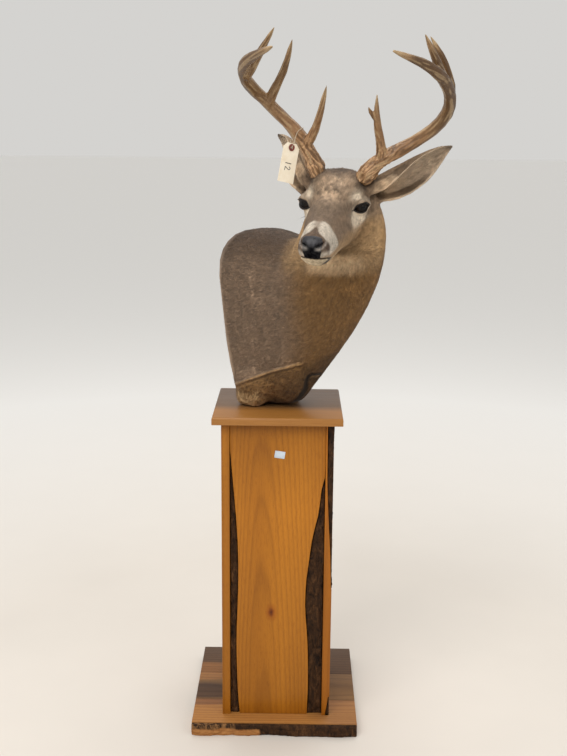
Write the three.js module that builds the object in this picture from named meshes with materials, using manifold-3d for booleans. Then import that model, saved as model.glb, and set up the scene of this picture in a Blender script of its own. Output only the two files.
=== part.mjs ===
// A whitetail buck shoulder mount standing on a wooden pedestal, life-size, in millimetres, +Z up.
// The origin is the centre of the underside of the pedestal's base; -Y is the pedestal's front.
// Flesh is made as lofts joined with booleans, then parted with thin cuts into named sub-parts.
import * as THREE from 'three';
import { mergeVertices } from 'three/addons/utils/BufferGeometryUtils.js';
import Module from 'manifold-3d';

const wasm = await Module();
wasm.setup();

// ---------------------------------------------------------------- driving dimensions, pedestal
const GAP = 0.3;                      // between pieces that touch
const BASE = { width: 402.5, depth: 395, thickness: 30 };
const BASE_PLANKS = [141, 131];       // depths of the glued planks, from the back; the rest is the front one
const BASE_BARK = 14;                 // depth of the live-edge bark along the base's front
const TOP = { width: 302, depth: 285, thickness: 19, bevel: 5, shift: 2 };
const TOP_HEIGHT = 795;               // upper face of the top board above the floor
const COLUMN = { width: 262.6, depth: 245, shift: 3, side: 19, panel: 19, recess: 5 };
const COLUMN_FRONT = -BASE.depth / 2 + 52;
const TOP_OVERHANG = 20;
const STICKER = { width: 24, height: 17, thickness: 0.6, x: 8, z: 700, tilt: 0.14 };

// ---------------------------------------------------------------- driving dimensions, mount
const BODY = { x: -50, y: 25, turn: 42 * Math.PI / 180 };   // back plane's middle, and forward's turn from +X
const HEAD = { x: 119, y: -200, z: 1277, azimuth: -14.6, elevation: -19.5, roll: -2.5 };
const EYE = { radius: 16.5, forward: -10, out: 54.5, up: -1, turn: 42, length: 36, height: 22, tilt: 9, lid: 2.2, flare: 1.35 };
const NOSE_PAD = { halfWidth: 23, top: 17, bottom: -31, back: 186 };
const MOUTH = { corner: 105, cornerUp: -50, frontUp: -34 };
const JAW_CUT = 72;                   // where muzzle and lower jaw are parted from the head
const BACK_BOARD = { thickness: 14, scale: 0.84 };
const EAR = { wall: 5, rootWall: 12 };
const TAG = { width: 41, height: 83, thickness: 0.6, clip: 9, ring: 7.5, hole: 3, string: 1.3 };
const CUT_SIZE = 1500;                // cutting blocks are larger than the whole object

const FUR_BROWN = [0x6f6152, 0.9];
const finish = ([color, roughness], metalness = 0) => new THREE.MeshStandardMaterial({ color, roughness, metalness });

// ---------------------------------------------------------------- small geometry helpers
const V = (x, y, z) => new THREE.Vector3(x, y, z);

/** Closed skin over rings of points; every ring has the same count, and both ends get a fan cap. */
function loft(rings) {
  const count = rings[0].length;
  const positions = [];
  const index = [];
  for (const ring of rings) for (const p of ring) positions.push(p.x, p.y, p.z);
  for (let r = 0; r + 1 < rings.length; r++) {
    for (let i = 0; i < count; i++) {
      const a = r * count + i;
      const b = r * count + (i + 1) % count;
      index.push(a, b, a + count, b, b + count, a + count);
    }
  }
  for (const end of [0, rings.length - 1]) {
    const middle = rings[end].reduce((sum, p) => sum.add(p), V(0, 0, 0)).divideScalar(count);
    const hub = positions.length / 3;
    positions.push(middle.x, middle.y, middle.z);
    for (let i = 0; i < count; i++) {
      const a = end * count + i;
      const b = end * count + (i + 1) % count;
      if (end === 0) index.push(hub, b, a); else index.push(hub, a, b);
    }
  }
  const geometry = new THREE.BufferGeometry();
  geometry.setAttribute('position', new THREE.Float32BufferAttribute(positions, 3));
  geometry.setIndex(index);
  return geometry;
}

/** A three.js geometry as a manifold solid, turned outside out when its faces point inwards. */
function solid(geometry, matrix = null) {
  const copy = geometry.clone();
  if (matrix) copy.applyMatrix4(matrix);
  copy.deleteAttribute('normal');
  copy.deleteAttribute('uv');
  const merged = mergeVertices(copy, 1e-4);
  const p = merged.attributes.position;
  const triangles = Uint32Array.from(merged.index.array);
  let volume = 0;
  const [a, b, c] = [V(0, 0, 0), V(0, 0, 0), V(0, 0, 0)];
  for (let i = 0; i < triangles.length; i += 3) {
    a.fromBufferAttribute(p, triangles[i]);
    b.fromBufferAttribute(p, triangles[i + 1]);
    c.fromBufferAttribute(p, triangles[i + 2]);
    volume += a.dot(b.cross(c));
  }
  if (volume < 0) {
    for (let i = 0; i < triangles.length; i += 3) {
      [triangles[i], triangles[i + 1]] = [triangles[i + 1], triangles[i]];
    }
  }
  return new wasm.Manifold(new wasm.Mesh({
    numProp: 3, vertProperties: Float32Array.from(p.array), triVerts: triangles,
  }));
}

/** The largest connected piece of a solid, as a three.js geometry. */
function toGeometry(manifold) {
  const pieces = manifold.decompose().sort((m, n) => n.volume() - m.volume());
  const mesh = pieces[0].getMesh();
  const geometry = new THREE.BufferGeometry();
  geometry.setAttribute('position', new THREE.BufferAttribute(Float32Array.from(mesh.vertProperties), 3));
  geometry.setIndex(new THREE.BufferAttribute(Uint32Array.from(mesh.triVerts), 1));
  return geometry;
}

/** Everything on the side of a plane that its normal points to, as a large block. */
function halfSpace(point, normal) {
  const turn = new THREE.Quaternion().setFromUnitVectors(V(0, 0, 1), normal.clone().normalize());
  const middle = point.clone().addScaledVector(normal.clone().normalize(), CUT_SIZE / 2);
  const matrix = new THREE.Matrix4().compose(middle, turn, V(1, 1, 1));
  return solid(new THREE.BoxGeometry(CUT_SIZE, CUT_SIZE, CUT_SIZE), matrix);
}

/** Two halves of a solid on both sides of a plane, with the standard gap between them. */
function part(manifold, point, normal) {
  const unit = normal.clone().normalize();
  const front = manifold.intersect(halfSpace(point.clone().addScaledVector(unit, GAP / 2), unit));
  const back = manifold.intersect(halfSpace(point.clone().addScaledVector(unit, -GAP / 2), unit.clone().negate()));
  return [front, back];
}

/** Smooth function through [station, value] pairs (monotone cubic, so that it never overshoots). */
function profile(pairs) {
  const n = pairs.length;
  const slope = pairs.slice(1).map(([x, y], i) => (y - pairs[i][1]) / (x - pairs[i][0]));
  const tangent = pairs.map((_, i) => {
    if (i === 0) return slope[0];
    if (i === n - 1) return slope[n - 2];
    return slope[i - 1] * slope[i] <= 0 ? 0 : 2 * slope[i - 1] * slope[i] / (slope[i - 1] + slope[i]);
  });
  return (x) => {
    if (x <= pairs[0][0]) return pairs[0][1];
    if (x >= pairs[n - 1][0]) return pairs[n - 1][1];
    const i = pairs.findIndex(([s], k) => k + 1 < n && x >= s && x <= pairs[k + 1][0]);
    const h = pairs[i + 1][0] - pairs[i][0];
    const t = (x - pairs[i][0]) / h;
    const [y0, y1] = [pairs[i][1], pairs[i + 1][1]];
    return y0 * (1 + 2 * t) * (1 - t) ** 2 + h * tangent[i] * t * (1 - t) ** 2
      + y1 * t * t * (3 - 2 * t) + h * tangent[i + 1] * t * t * (t - 1);
  };
}

/** Point of a section: superellipse above and below its widest line, narrowing towards its foot. */
function sectionPoint(angle, s) {
  const [c, q] = [Math.cos(angle), Math.sin(angle)];
  const n = q >= 0 ? s.topPower : s.footPower;
  const across = Math.sign(c) * Math.abs(c) ** (2 / n);
  const along = Math.abs(q) ** (2 / n);
  if (q >= 0) return [across * s.halfWidth, along * s.above];
  return [across * s.halfWidth * (1 - s.taper * along), -along * s.below];
}

/** Round tapered tube along a curve; radius is a function of 0..1; a closed curve gives a closed ring. */
function taperedTube(curve, radius, steps, sides, grow = 0) {
  const frames = curve.computeFrenetFrames(steps, curve.closed);
  const rings = [];
  for (let i = 0; i <= steps; i++) {
    const centre = curve.getPointAt(i / steps);
    const r = radius(i / steps) + grow;
    rings.push(Array.from({ length: sides }, (_, k) => {
      const angle = 2 * Math.PI * k / sides;
      return centre.clone()
        .addScaledVector(frames.normals[i], r * Math.cos(angle))
        .addScaledVector(frames.binormals[i], r * Math.sin(angle));
    }));
  }
  return solid(loft(rings));
}

const group = new THREE.Group();

/** Adds a named sub-part, from a manifold or a geometry in world millimetres. */
function add(name, shape, material) {
  const mesh = new THREE.Mesh(shape.isBufferGeometry ? shape : toGeometry(shape), material);
  mesh.name = name;
  group.add(mesh);
  return mesh;
}

/** A box by its low corner and size, as a manifold. */
function block(low, size) {
  const matrix = new THREE.Matrix4().makeTranslation(low[0] + size[0] / 2, low[1] + size[1] / 2, low[2] + size[2] / 2);
  return solid(new THREE.BoxGeometry(...size), matrix);
}

// ---------------------------------------------------------------- pedestal
const WOOD = [0xb9792f, 0.4];
const BARK = [0x3b2a20, 0.95];

/** Base: planks glued side by side, each running left to right, and a rough live edge in front. */
function buildBase() {
  const left = -BASE.width / 2;
  let back = BASE.depth / 2;
  const front = -BASE.depth / 2 + BASE_BARK;
  const depths = [...BASE_PLANKS, back - front - BASE_PLANKS.reduce((a, b) => a + b, 0)];
  depths.forEach((depth, i) => {
    add(`base_plank_${i + 1}`, block([left, back - depth + GAP, 0], [BASE.width, depth - GAP, BASE.thickness]), finish(WOOD));
    back -= depth;
  });
  const outline = new THREE.Shape();
  const steps = 18;
  const reach = (t) => BASE_BARK * (0.72 + 0.16 * Math.sin(9 * t + 0.6) + 0.12 * Math.sin(23 * t));
  outline.moveTo(left, front - GAP);
  for (let i = 0; i <= steps; i++) outline.lineTo(left + BASE.width * i / steps, front - GAP - reach(i / steps) + GAP);
  outline.lineTo(left + BASE.width, front - GAP);
  outline.closePath();
  const bark = new THREE.ExtrudeGeometry(outline, { depth: BASE.thickness, bevelEnabled: false });
  add('base_live_edge', solid(bark), finish(BARK));
}

/** Where the front slab's wood ends and its bark begins, measured in from the side board. */
const LEFT_BARK = profile([[0, 23], [45, 19], [102, 16.5], [195, 15], [258, 16.6], [320, 19], [377, 19.6], [428, 19.1], [499, 15.8],
  [571, 10.3], [663, 2.7], [700, 0], [746, 0]]);
const RIGHT_BARK = profile([[0, 36], [73, 33.7], [161, 34.9], [224, 38.6], [286, 43.3], [333, 42.7], [407, 35.3], [466, 28],
  [496, 21.3], [526, 14.7], [561, 10.6], [596, 7.4], [613, 1.1], [640, 0], [746, 0]]);
const EDGE_DEPTH = 22;                // how far the side board's live edge reaches back
const EDGE_FOOT = 50;                 // bark shows below this height on the column and above the next one
const EDGE_CLEAR = 335;
const POST_BARK = profile([[0, 11], [25, 7], [50, 2], [335, 2], [410, 4], [503, 9.7], [622, 15], [746, 16]]);
const STRIP_TOP = { left: 690, right: 628 };   // where each bark strip of the slab has run out

/** Column: two side boards, a live-edge front slab with its bark, a back panel. */
function buildColumn() {
  const low = BASE.thickness + GAP;
  const high = TOP_HEIGHT - TOP.thickness - GAP;
  const height = high - low;
  const left = COLUMN.shift - COLUMN.width / 2;
  const right = COLUMN.shift + COLUMN.width / 2;
  add('column_side_left', block([left, COLUMN_FRONT, low], [COLUMN.side, COLUMN.depth, height]), finish(WOOD));
  const innerLeft = left + COLUMN.side + GAP;
  const innerRight = right - COLUMN.side - GAP;
  const steps = 23;
  const heights = Array.from({ length: steps + 1 }, (_, i) => height * i / steps);
  const slice = (nearEdge, farEdge, front, depth) => {
    const outline = new THREE.Shape();
    heights.forEach((h, i) => (i === 0 ? outline.moveTo(nearEdge(h), h) : outline.lineTo(nearEdge(h), h)));
    [...heights].reverse().forEach((h) => outline.lineTo(farEdge(h), h));
    outline.closePath();
    const geometry = new THREE.ExtrudeGeometry(outline, { depth, bevelEnabled: false });
    const matrix = new THREE.Matrix4().makeRotationX(Math.PI / 2).setPosition(0, front + depth, low);
    return solid(geometry, matrix);
  };
  // right side board: bark of the live edge along its front arris
  const room = slice((h) => right - POST_BARK(h), (h) => right + 1, COLUMN_FRONT - 1, EDGE_DEPTH + 1 + GAP)
    .subtract(block([left, COLUMN_FRONT - 2, low + EDGE_FOOT], [COLUMN.width + 10, EDGE_DEPTH + 5, EDGE_CLEAR - EDGE_FOOT]));
  const sideBoard = block([right - COLUMN.side, COLUMN_FRONT, low], [COLUMN.side, COLUMN.depth, height]);
  add('column_side_right', sideBoard.subtract(room), finish(WOOD));
  const edge = slice((h) => right - POST_BARK(h) + GAP, () => right, COLUMN_FRONT + 1, EDGE_DEPTH - 1);
  const above = block([left, COLUMN_FRONT, low + EDGE_CLEAR + GAP], [COLUMN.width, COLUMN.depth, height - EDGE_CLEAR - GAP]);
  const under = block([left, COLUMN_FRONT, low], [COLUMN.width, COLUMN.depth, EDGE_FOOT - GAP]);
  add('side_bark', edge.intersect(above), finish(BARK));
  add('side_bark_foot', edge.intersect(under), finish(BARK));
  // front slab and its two bark strips
  const woodLeft = (h) => innerLeft + LEFT_BARK(h);
  const woodRight = (h) => innerRight - RIGHT_BARK(h);
  const front = COLUMN_FRONT + COLUMN.recess;
  add('column_front_slab', slice(woodLeft, woodRight, front, COLUMN.panel), finish(WOOD));
  const barkRecess = 3;
  const leftStrip = slice((h) => innerLeft - 1, (h) => woodLeft(h) - GAP, front + barkRecess, COLUMN.panel - barkRecess)
    .intersect(block([innerLeft, COLUMN_FRONT, low], [60, COLUMN.depth, STRIP_TOP.left]));
  add('slab_bark_left', leftStrip, finish(BARK));
  const rightStrip = slice((h) => woodRight(h) + GAP, (h) => innerRight + 1, front + barkRecess, COLUMN.panel - barkRecess)
    .intersect(block([innerRight - 80, COLUMN_FRONT, low], [80, COLUMN.depth, STRIP_TOP.right]));
  add('slab_bark_right', rightStrip, finish(BARK));
  const backFront = COLUMN_FRONT + COLUMN.depth - COLUMN.panel;
  add('column_back_panel', block([innerLeft, backFront, low], [innerRight - innerLeft, COLUMN.panel, height]), finish(WOOD));
  // price sticker, left blank
  const sticker = new THREE.BoxGeometry(STICKER.width, STICKER.thickness, STICKER.height);
  const place = new THREE.Matrix4().makeRotationY(STICKER.tilt);
  place.setPosition(STICKER.x, front - GAP - STICKER.thickness / 2, STICKER.z);
  add('blank_sticker', solid(sticker, place), finish([0xf2f2f0, 0.6]));
}

/** Top board: square edge below, eased edge above. */
function buildTop() {
  const y = COLUMN_FRONT - TOP_OVERHANG;
  const outline = (inset) => {
    const [x0, x1] = [TOP.shift - TOP.width / 2 + inset, TOP.shift + TOP.width / 2 - inset];
    const [y0, y1] = [y + inset, y + TOP.depth - inset];
    return [[x0, y0], [x1, y0], [x1, y1], [x0, y1]];
  };
  const rows = [[0, TOP_HEIGHT - TOP.thickness], [0, TOP_HEIGHT - TOP.bevel], [TOP.bevel * 0.3, TOP_HEIGHT - TOP.bevel * 0.3],
    [TOP.bevel, TOP_HEIGHT]];
  add('top_board', solid(loft(rows.map(([inset, z]) => outline(inset).map(([px, py]) => V(px, py, z))))), finish(WOOD));
}

buildBase();
buildColumn();
buildTop();

// ---------------------------------------------------------------- the mount's two frames
const forward = V(Math.cos(BODY.turn), -Math.sin(BODY.turn), 0);
const leftward = V(Math.sin(BODY.turn), Math.cos(BODY.turn), 0);
/** World point from the trunk's own frame: forward of the back plane, to the deer's left, height. */
const inBody = (f, l, z) => V(BODY.x, BODY.y, z).addScaledVector(forward, f).addScaledVector(leftward, l);

const radians = THREE.MathUtils.degToRad;
const [azimuth, elevation, roll] = [HEAD.azimuth, HEAD.elevation, HEAD.roll].map(radians);
const headF = V(Math.sin(azimuth) * Math.cos(elevation), -Math.cos(azimuth) * Math.cos(elevation), Math.sin(elevation));
const level = V(Math.cos(azimuth), Math.sin(azimuth), 0);
const upright = headF.clone().cross(level);
const headL = level.clone().multiplyScalar(Math.cos(roll)).addScaledVector(upright, Math.sin(roll));
const headU = upright.clone().multiplyScalar(Math.cos(roll)).addScaledVector(level, -Math.sin(roll));
const headMatrix = new THREE.Matrix4().makeBasis(headF, headL, headU).setPosition(HEAD.x, HEAD.y, HEAD.z);
/** World point from the head's own frame: forward, to the deer's left, up, from between the eyes. */
const inHead = (f, l, u) => V(f, l, u).applyMatrix4(headMatrix);

// ---------------------------------------------------------------- trunk and neck
// Sections fan from the flat back plane to the skull: back line and breast line (forward, left, height),
// half-width, heading turn towards the deer's right, place of the widest line, squareness and taper.
const TRUNK = [
  { back: [0, 0, 1211], breast: [0, 0, 797], halfWidth: 133, turn: 0, widest: 0.75, top: 2.8, foot: 4.0, taper: 0.30 },
  { back: [42, 0, 1209], breast: [66, 0, 792], halfWidth: 137, turn: 0, widest: 0.72, top: 2.6, foot: 3.2, taper: 0.40 },
  { back: [89, 0, 1202], breast: [114, 0, 797], halfWidth: 135, turn: 0, widest: 0.68, top: 2.4, foot: 2.6, taper: 0.50 },
  { back: [130, 0, 1197], breast: [164, 0, 841], halfWidth: 126, turn: 2, widest: 0.62, top: 2.2, foot: 2.3, taper: 0.45 },
  { back: [162, 0, 1200], breast: [213, 0, 904], halfWidth: 112, turn: 6, widest: 0.58, top: 2.1, foot: 2.2, taper: 0.32 },
  { back: [181, 3, 1218], breast: [266, 0, 980], halfWidth: 99, turn: 14, widest: 0.54, top: 2.1, foot: 2.1, taper: 0.20 },
  { back: [189, 8, 1246], breast: [304, 4, 1062], halfWidth: 89, turn: 25, widest: 0.52, top: 2.0, foot: 2.1, taper: 0.12 },
  { back: [192, 13, 1278], breast: [322, 10, 1134], halfWidth: 78, turn: 37, widest: 0.50, top: 2.0, foot: 2.1, taper: 0.08 },
  { back: [197, 16, 1308], breast: [326, 16, 1192], halfWidth: 70, turn: 48, widest: 0.50, top: 2.0, foot: 2.1, taper: 0.06 },
  { back: [206, 16, 1328], breast: [318, 11, 1238], halfWidth: 64, turn: 56, widest: 0.50, top: 2.0, foot: 2.1, taper: 0.05 },
  { back: [222, 12, 1342], breast: [304, 5, 1280], halfWidth: 55, turn: 60, widest: 0.50, top: 2.0, foot: 2.1, taper: 0.05 },
];
const TRUNK_STEPS = 18;
const TRUNK_SIDES = 24;

/** Value of one section field, smoothed along the trunk. */
function sectionAt(t) {
  const field = (pick) => profile(TRUNK.map((s, i) => [i, pick(s)]))(t);
  const back = inBody(field((s) => s.back[0]), field((s) => s.back[1]), field((s) => s.back[2]));
  const breast = inBody(field((s) => s.breast[0]), field((s) => s.breast[1]), field((s) => s.breast[2]));
  const turn = radians(field((s) => s.turn));
  const across = leftward.clone().applyAxisAngle(V(0, 0, 1), -turn);
  const widest = field((s) => s.widest);
  const length = back.distanceTo(breast);
  return {
    centre: breast.clone().lerp(back, widest), up: back.clone().sub(breast).normalize(), across,
    halfWidth: field((s) => s.halfWidth), above: length * (1 - widest), below: length * widest,
    topPower: field((s) => s.top), footPower: field((s) => s.foot), taper: field((s) => s.taper),
  };
}

function trunkRing(t, scale = 1) {
  const s = sectionAt(t);
  return Array.from({ length: TRUNK_SIDES }, (_, k) => {
    const [across, along] = sectionPoint(2 * Math.PI * k / TRUNK_SIDES, s);
    return s.centre.clone().addScaledVector(s.across, across * scale).addScaledVector(s.up, along * scale);
  });
}

const trunkRings = Array.from({ length: TRUNK_STEPS + 1 }, (_, i) => trunkRing((TRUNK.length - 1) * i / TRUNK_STEPS));
let flesh = solid(loft(trunkRings));

/** Stump of a foreleg: an egg that widens the foot of the trunk on one side, and a fuller one where the leg was cut. */
const STUMP = { forward: 44, out: 54, height: 868, length: 66, width: 44, tall: 76 };
const STUMP_FOOT = { forward: 38, out: 59, height: 824, length: 43, width: 37, tall: 46 };
function stump(side) {
  const egg = (sizes) => {
    const place = new THREE.Matrix4().makeBasis(forward, leftward, V(0, 0, 1))
      .multiply(new THREE.Matrix4().makeScale(sizes.length, sizes.width, sizes.tall));
    place.setPosition(inBody(sizes.forward, side * sizes.out, sizes.height));
    return solid(new THREE.SphereGeometry(1, 14, 9), place);
  };
  return egg(STUMP).add(egg(STUMP_FOOT));
}

// ---------------------------------------------------------------- head
const CROWN = profile([[-125, 38], [-95, 49], [-60, 57], [-30, 60], [0, 56], [30, 49], [60, 42], [95, 34], [130, 27], [160, 22], [185, 19],
  [198, 14], [206, 2]]);
const CHIN = profile([[-125, -98], [-95, -112], [-60, -117], [-30, -112], [0, -102], [30, -92], [60, -82], [95, -73], [130, -67], [160, -62.5],
  [178, -56], [190, -44], [200, -28], [206, -10]]);
const CHEEK = profile([[-125, 60], [-95, 67], [-60, 71], [-30, 69], [-12, 66], [0, 63], [14, 59], [30, 57], [55, 53], [80, 48], [110, 41.5],
  [140, 36], [165, 32.5], [183, 30], [194, 26], [201, 19], [206, 8]]);
const WIDEST = profile([[-125, 0.52], [-60, 0.5], [-20, 0.46], [20, 0.42], [80, 0.38], [120, 0.36], [160, 0.42], [206, 0.5]]);
const CROWN_POWER = profile([[-125, 2.2], [-40, 2.3], [0, 2.1], [25, 1.85], [60, 1.75], [110, 1.8], [160, 2.1], [206, 2.2]]);
const HEAD_STATIONS = [-125, -100, -75, -50, -32, -18, -6, 6, 18, 32, 50, 75, 100, 125, 148, 166, 180, 190, 198, 203, 206];
const HEAD_SIDES = 20;
/** Hills and hollows of the face: bony brow above the eye, hollow of the tear duct in front, rim behind. */
const RELIEF = [
  { forward: -6, up: 16, length: 30, height: 18, depth: 8 },
  { forward: 22, up: 0, length: 20, height: 17, depth: -13 },
  { forward: -30, up: -2, length: 18, height: 18, depth: 5 },
];

function headRing(f, grow) {
  const s = { halfWidth: CHEEK(f) + grow, topPower: CROWN_POWER(f), footPower: 2.15, taper: 0.12 };
  const [top, foot] = [CROWN(f) + grow, CHIN(f) - grow];
  s.above = (top - foot) * (1 - WIDEST(f));
  s.below = (top - foot) * WIDEST(f);
  return Array.from({ length: HEAD_SIDES }, (_, k) => {
    const [across, along] = sectionPoint(2 * Math.PI * k / HEAD_SIDES, s);
    const up = foot + s.below + along;
    const relief = RELIEF.reduce((sum, h) => sum
      + h.depth * Math.exp(-(((f - h.forward) / h.length) ** 2) - (((up - h.up) / h.height) ** 2)), 0);
    const side = Math.sign(across) * Math.min(1, Math.abs(across) / 30);
    return inHead(f, across + side * relief, up);
  });
}
const headSolid = (grow) => solid(loft(HEAD_STATIONS.map((f) => headRing(f, grow))));
let head = headSolid(0);

/** Eyeballs, and the sockets and almond openings that show them. */
function eyeFrame(side) {
  const turn = radians(EYE.turn);
  const centre = inHead(EYE.forward, side * EYE.out, EYE.up);
  const out = headF.clone().multiplyScalar(Math.cos(turn)).addScaledVector(headL, side * Math.sin(turn));
  const front = headF.clone().multiplyScalar(Math.sin(turn)).addScaledVector(headL, -side * Math.cos(turn));
  const long = front.clone().multiplyScalar(Math.cos(radians(EYE.tilt))).addScaledVector(headU, -Math.sin(radians(EYE.tilt)));
  return { centre, out, long };
}

function eyeball(side, grow = 0) {
  const { centre } = eyeFrame(side);
  const place = new THREE.Matrix4().setPosition(centre);
  return solid(new THREE.SphereGeometry(EYE.radius + grow, 12, 9), place);
}

function eyeOpening(side) {
  const { centre, out, long } = eyeFrame(side);
  const across = out.clone().cross(long);
  const [a, h] = [EYE.length / 2, EYE.height / 2];
  const sides = 12;
  const ring = (scale, depth) => Array.from({ length: sides }, (_, k) => {
    const angle = 2 * Math.PI * k / sides;
    const along = Math.cos(angle);
    const up = Math.sign(Math.sin(angle)) * (1 - along * along) * h;
    return centre.clone().addScaledVector(out, depth).addScaledVector(long, along * a * scale)
      .addScaledVector(across, up * scale);
  });
  return solid(loft([ring(1, 5), ring(1, EYE.radius), ring(EYE.flare, 2 * EYE.radius)]));
}

/** Ear: a cupped leaf, thick at its root and thin at its rim, opening towards a given side. */
const EAR_SHAPES = {
  left: { root: [-62, 58, 4], middle: [-79, 160, 46], tip: [-95, 238, 110], opening: [0.84, 0.30, -0.45] },
  right: { root: [-62, -58, 4], middle: [-114, -122, 48], tip: [-186, -172, 82], opening: [0.80, -0.58, -0.16] },
};
const EAR_WIDTH = profile([[0, 27], [0.18, 31], [0.38, 37], [0.55, 38], [0.72, 32], [0.86, 21], [0.95, 11], [1, 4]]);
const EAR_SPREAD = profile([[0, 150], [0.2, 140], [0.4, 112], [0.6, 90], [0.8, 72], [1, 50]]);
const EAR_STEPS = 10;
const EAR_SIDES = 7;

function ear(shape, grow = 0) {
  const curve = new THREE.CatmullRomCurve3([shape.root, shape.middle, shape.tip].map((p) => inHead(...p)));
  const rings = [];
  for (let i = 0; i <= EAR_STEPS; i++) {
    const t = i / EAR_STEPS;
    const axis = curve.getTangentAt(t);
    const open = V(...shape.opening).transformDirection(headMatrix);
    open.addScaledVector(axis, -open.dot(axis)).normalize();
    const side = axis.clone().cross(open);
    const spread = radians(EAR_SPREAD(t));
    const radius = EAR_WIDTH(t) / Math.sin(Math.min(spread, Math.PI / 2));
    const wall = THREE.MathUtils.lerp(EAR.rootWall, EAR.wall, Math.min(1, t * 2.2)) * (t > 0.9 ? 0.8 : 1);
    const middle = curve.getPointAt(t).addScaledVector(open, (1 - Math.sin(Math.min(spread, Math.PI / 2))) * radius * 0.4);
    const slack = grow / radius;
    const arc = (r, from, to) => Array.from({ length: EAR_SIDES }, (_, k) => {
      const angle = THREE.MathUtils.lerp(from, to, k / (EAR_SIDES - 1));
      return middle.clone().addScaledVector(open, -r * Math.cos(angle)).addScaledVector(side, r * Math.sin(angle));
    });
    rings.push([...arc(radius + grow, -spread - slack, spread + slack),
      ...arc(radius - wall - grow, spread + slack, -spread - slack)]);
  }
  return solid(loft(rings));
}

// ---------------------------------------------------------------- antlers
// Main beams and tines by their centre lines in the head's frame; each line's radii follow its length.
const ANTLERS = {
  right: {
    beam: [[-46, -42, 46], [-50, -48, 64], [-52, -58, 86], [-55, -76, 118], [-61, -101, 147], [-64, -132, 176], [-58, -158, 205],
      [-40, -177, 233], [-12, -184, 263], [10, -180, 286], [35, -168, 308], [62, -144, 329], [88, -120, 345], [120, -86, 366]],
    forks: [0.235, 0.475, 0.655],
    tines: { brow: [[-52, -72, 112], [-46, -52, 140], [-28, -33, 187], [-12, -13, 255]],
      second: [[-58, -150, 198], [-57, -141, 218], [-52, -113, 269], [-30, -86, 340]],
      third: [[-2, -182, 268], [-4, -170, 284], [2, -150, 314], [25, -107, 377]] },
  },
  left: {
    beam: [[-46, 50, 42], [-50, 64, 58], [-52, 79, 76], [-55, 103, 96], [-60, 128, 108], [-64, 157, 125], [-64, 186, 146], [-58, 213, 173],
      [-46, 230, 205], [-28, 234, 236], [-4, 230, 266], [18, 222, 288], [42, 207, 310], [66, 188, 330], [92, 163, 348], [112, 141, 363]],
    forks: [0.2, 0.605, 0.70],
    tines: { brow: [[-54, 95, 90], [-46, 94, 120], [-26, 88, 183], [-12, 90, 242]],
      second: [[-34, 233, 236], [-39, 232, 256], [-42, 216, 304], [-32, 190, 353]],
      third: [[2, 228, 270], [12, 220, 292], [18, 205, 330], [25, 187, 372]] },
    nub: [[-24, 87, 186], [-17, 76, 203], [-14, 72, 214]],
  },
};
const BEAM_RADIUS = profile([[0, 17], [0.02, 18], [0.045, 21.5], [0.075, 18], [0.12, 16], [0.2, 16.5], [0.28, 14], [0.45, 13.5], [0.52, 14],
  [0.62, 13], [0.72, 12.5], [0.85, 9.5], [0.95, 6], [1, 2.5]]);
const TINE_RADIUS = profile([[0, 13], [0.12, 12], [0.3, 10], [0.6, 8], [0.85, 5], [0.96, 2.6], [1, 1.4]]);
const NUB_RADIUS = profile([[0, 7], [0.6, 5], [1, 1.6]]);
const BEAM_STEPS = 21;
const TINE_STEPS = 6;

const curveOf = (points) => new THREE.CatmullRomCurve3(points.map((p) => inHead(...p)), false, 'centripetal');

/** Beam parted at its forks, each tine fitted to it, all without overlaps. */
function buildAntler(side) {
  const shape = ANTLERS[side];
  const horn = finish([0x9a7448, 0.45]);
  const beamCurve = curveOf(shape.beam);
  const beam = taperedTube(beamCurve, BEAM_RADIUS, BEAM_STEPS, 8);
  const beamRoom = taperedTube(beamCurve, BEAM_RADIUS, BEAM_STEPS, 8, GAP);
  let rest = beam;
  const names = ['base', 'middle', 'upper', 'tip'];
  shape.forks.forEach((t, i) => {
    const [far, near] = part(rest, beamCurve.getPointAt(t), beamCurve.getTangentAt(t));
    add(`antler_${side}_${names[i]}`, near, horn);
    rest = far;
  });
  add(`antler_${side}_${names[3]}`, rest, horn);
  for (const [name, points] of Object.entries(shape.tines)) {
    let tine = taperedTube(curveOf(points), TINE_RADIUS, TINE_STEPS, 7);
    if (name === 'brow' && shape.nub) tine = tine.add(taperedTube(curveOf(shape.nub), NUB_RADIUS, 3, 6));
    add(`antler_${side}_${name}_tine`, tine.subtract(beamRoom), horn);
  }
  return beamRoom;
}

// ---------------------------------------------------------------- putting the flesh together and parting it
for (const side of [-1, 1]) flesh = flesh.add(stump(side));
flesh = flesh.intersect(halfSpace(inBody(0, 0, 1000), forward));
flesh = flesh.intersect(halfSpace(V(0, 0, TOP_HEIGHT + GAP), V(0, 0, 1)));

const beamRooms = ['right', 'left'].map(buildAntler);
const skin = (name, shape) => add(name, shape, finish(FUR_BROWN));
for (const side of [1, -1]) {
  head = head.add(eyeball(side, EYE.lid)).subtract(eyeball(side, GAP)).subtract(eyeOpening(side));
}

// back board, set into the trunk's flat back
const boardRing = (f) => trunkRing(0, BACK_BOARD.scale).map((p) => p.clone().addScaledVector(forward, f));
const board = solid(loft([boardRing(-0.01), boardRing(BACK_BOARD.thickness)]));
const boardRoom = solid(loft([-5, BACK_BOARD.thickness + GAP].map((f) => trunkRing(0, BACK_BOARD.scale + 0.003)
  .map((p) => p.clone().addScaledVector(forward, f)))));
flesh = flesh.subtract(boardRoom);
add('back_board', board.intersect(halfSpace(inBody(0, 0, 1000), forward)), finish([0x9c7a52, 0.8]));

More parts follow.
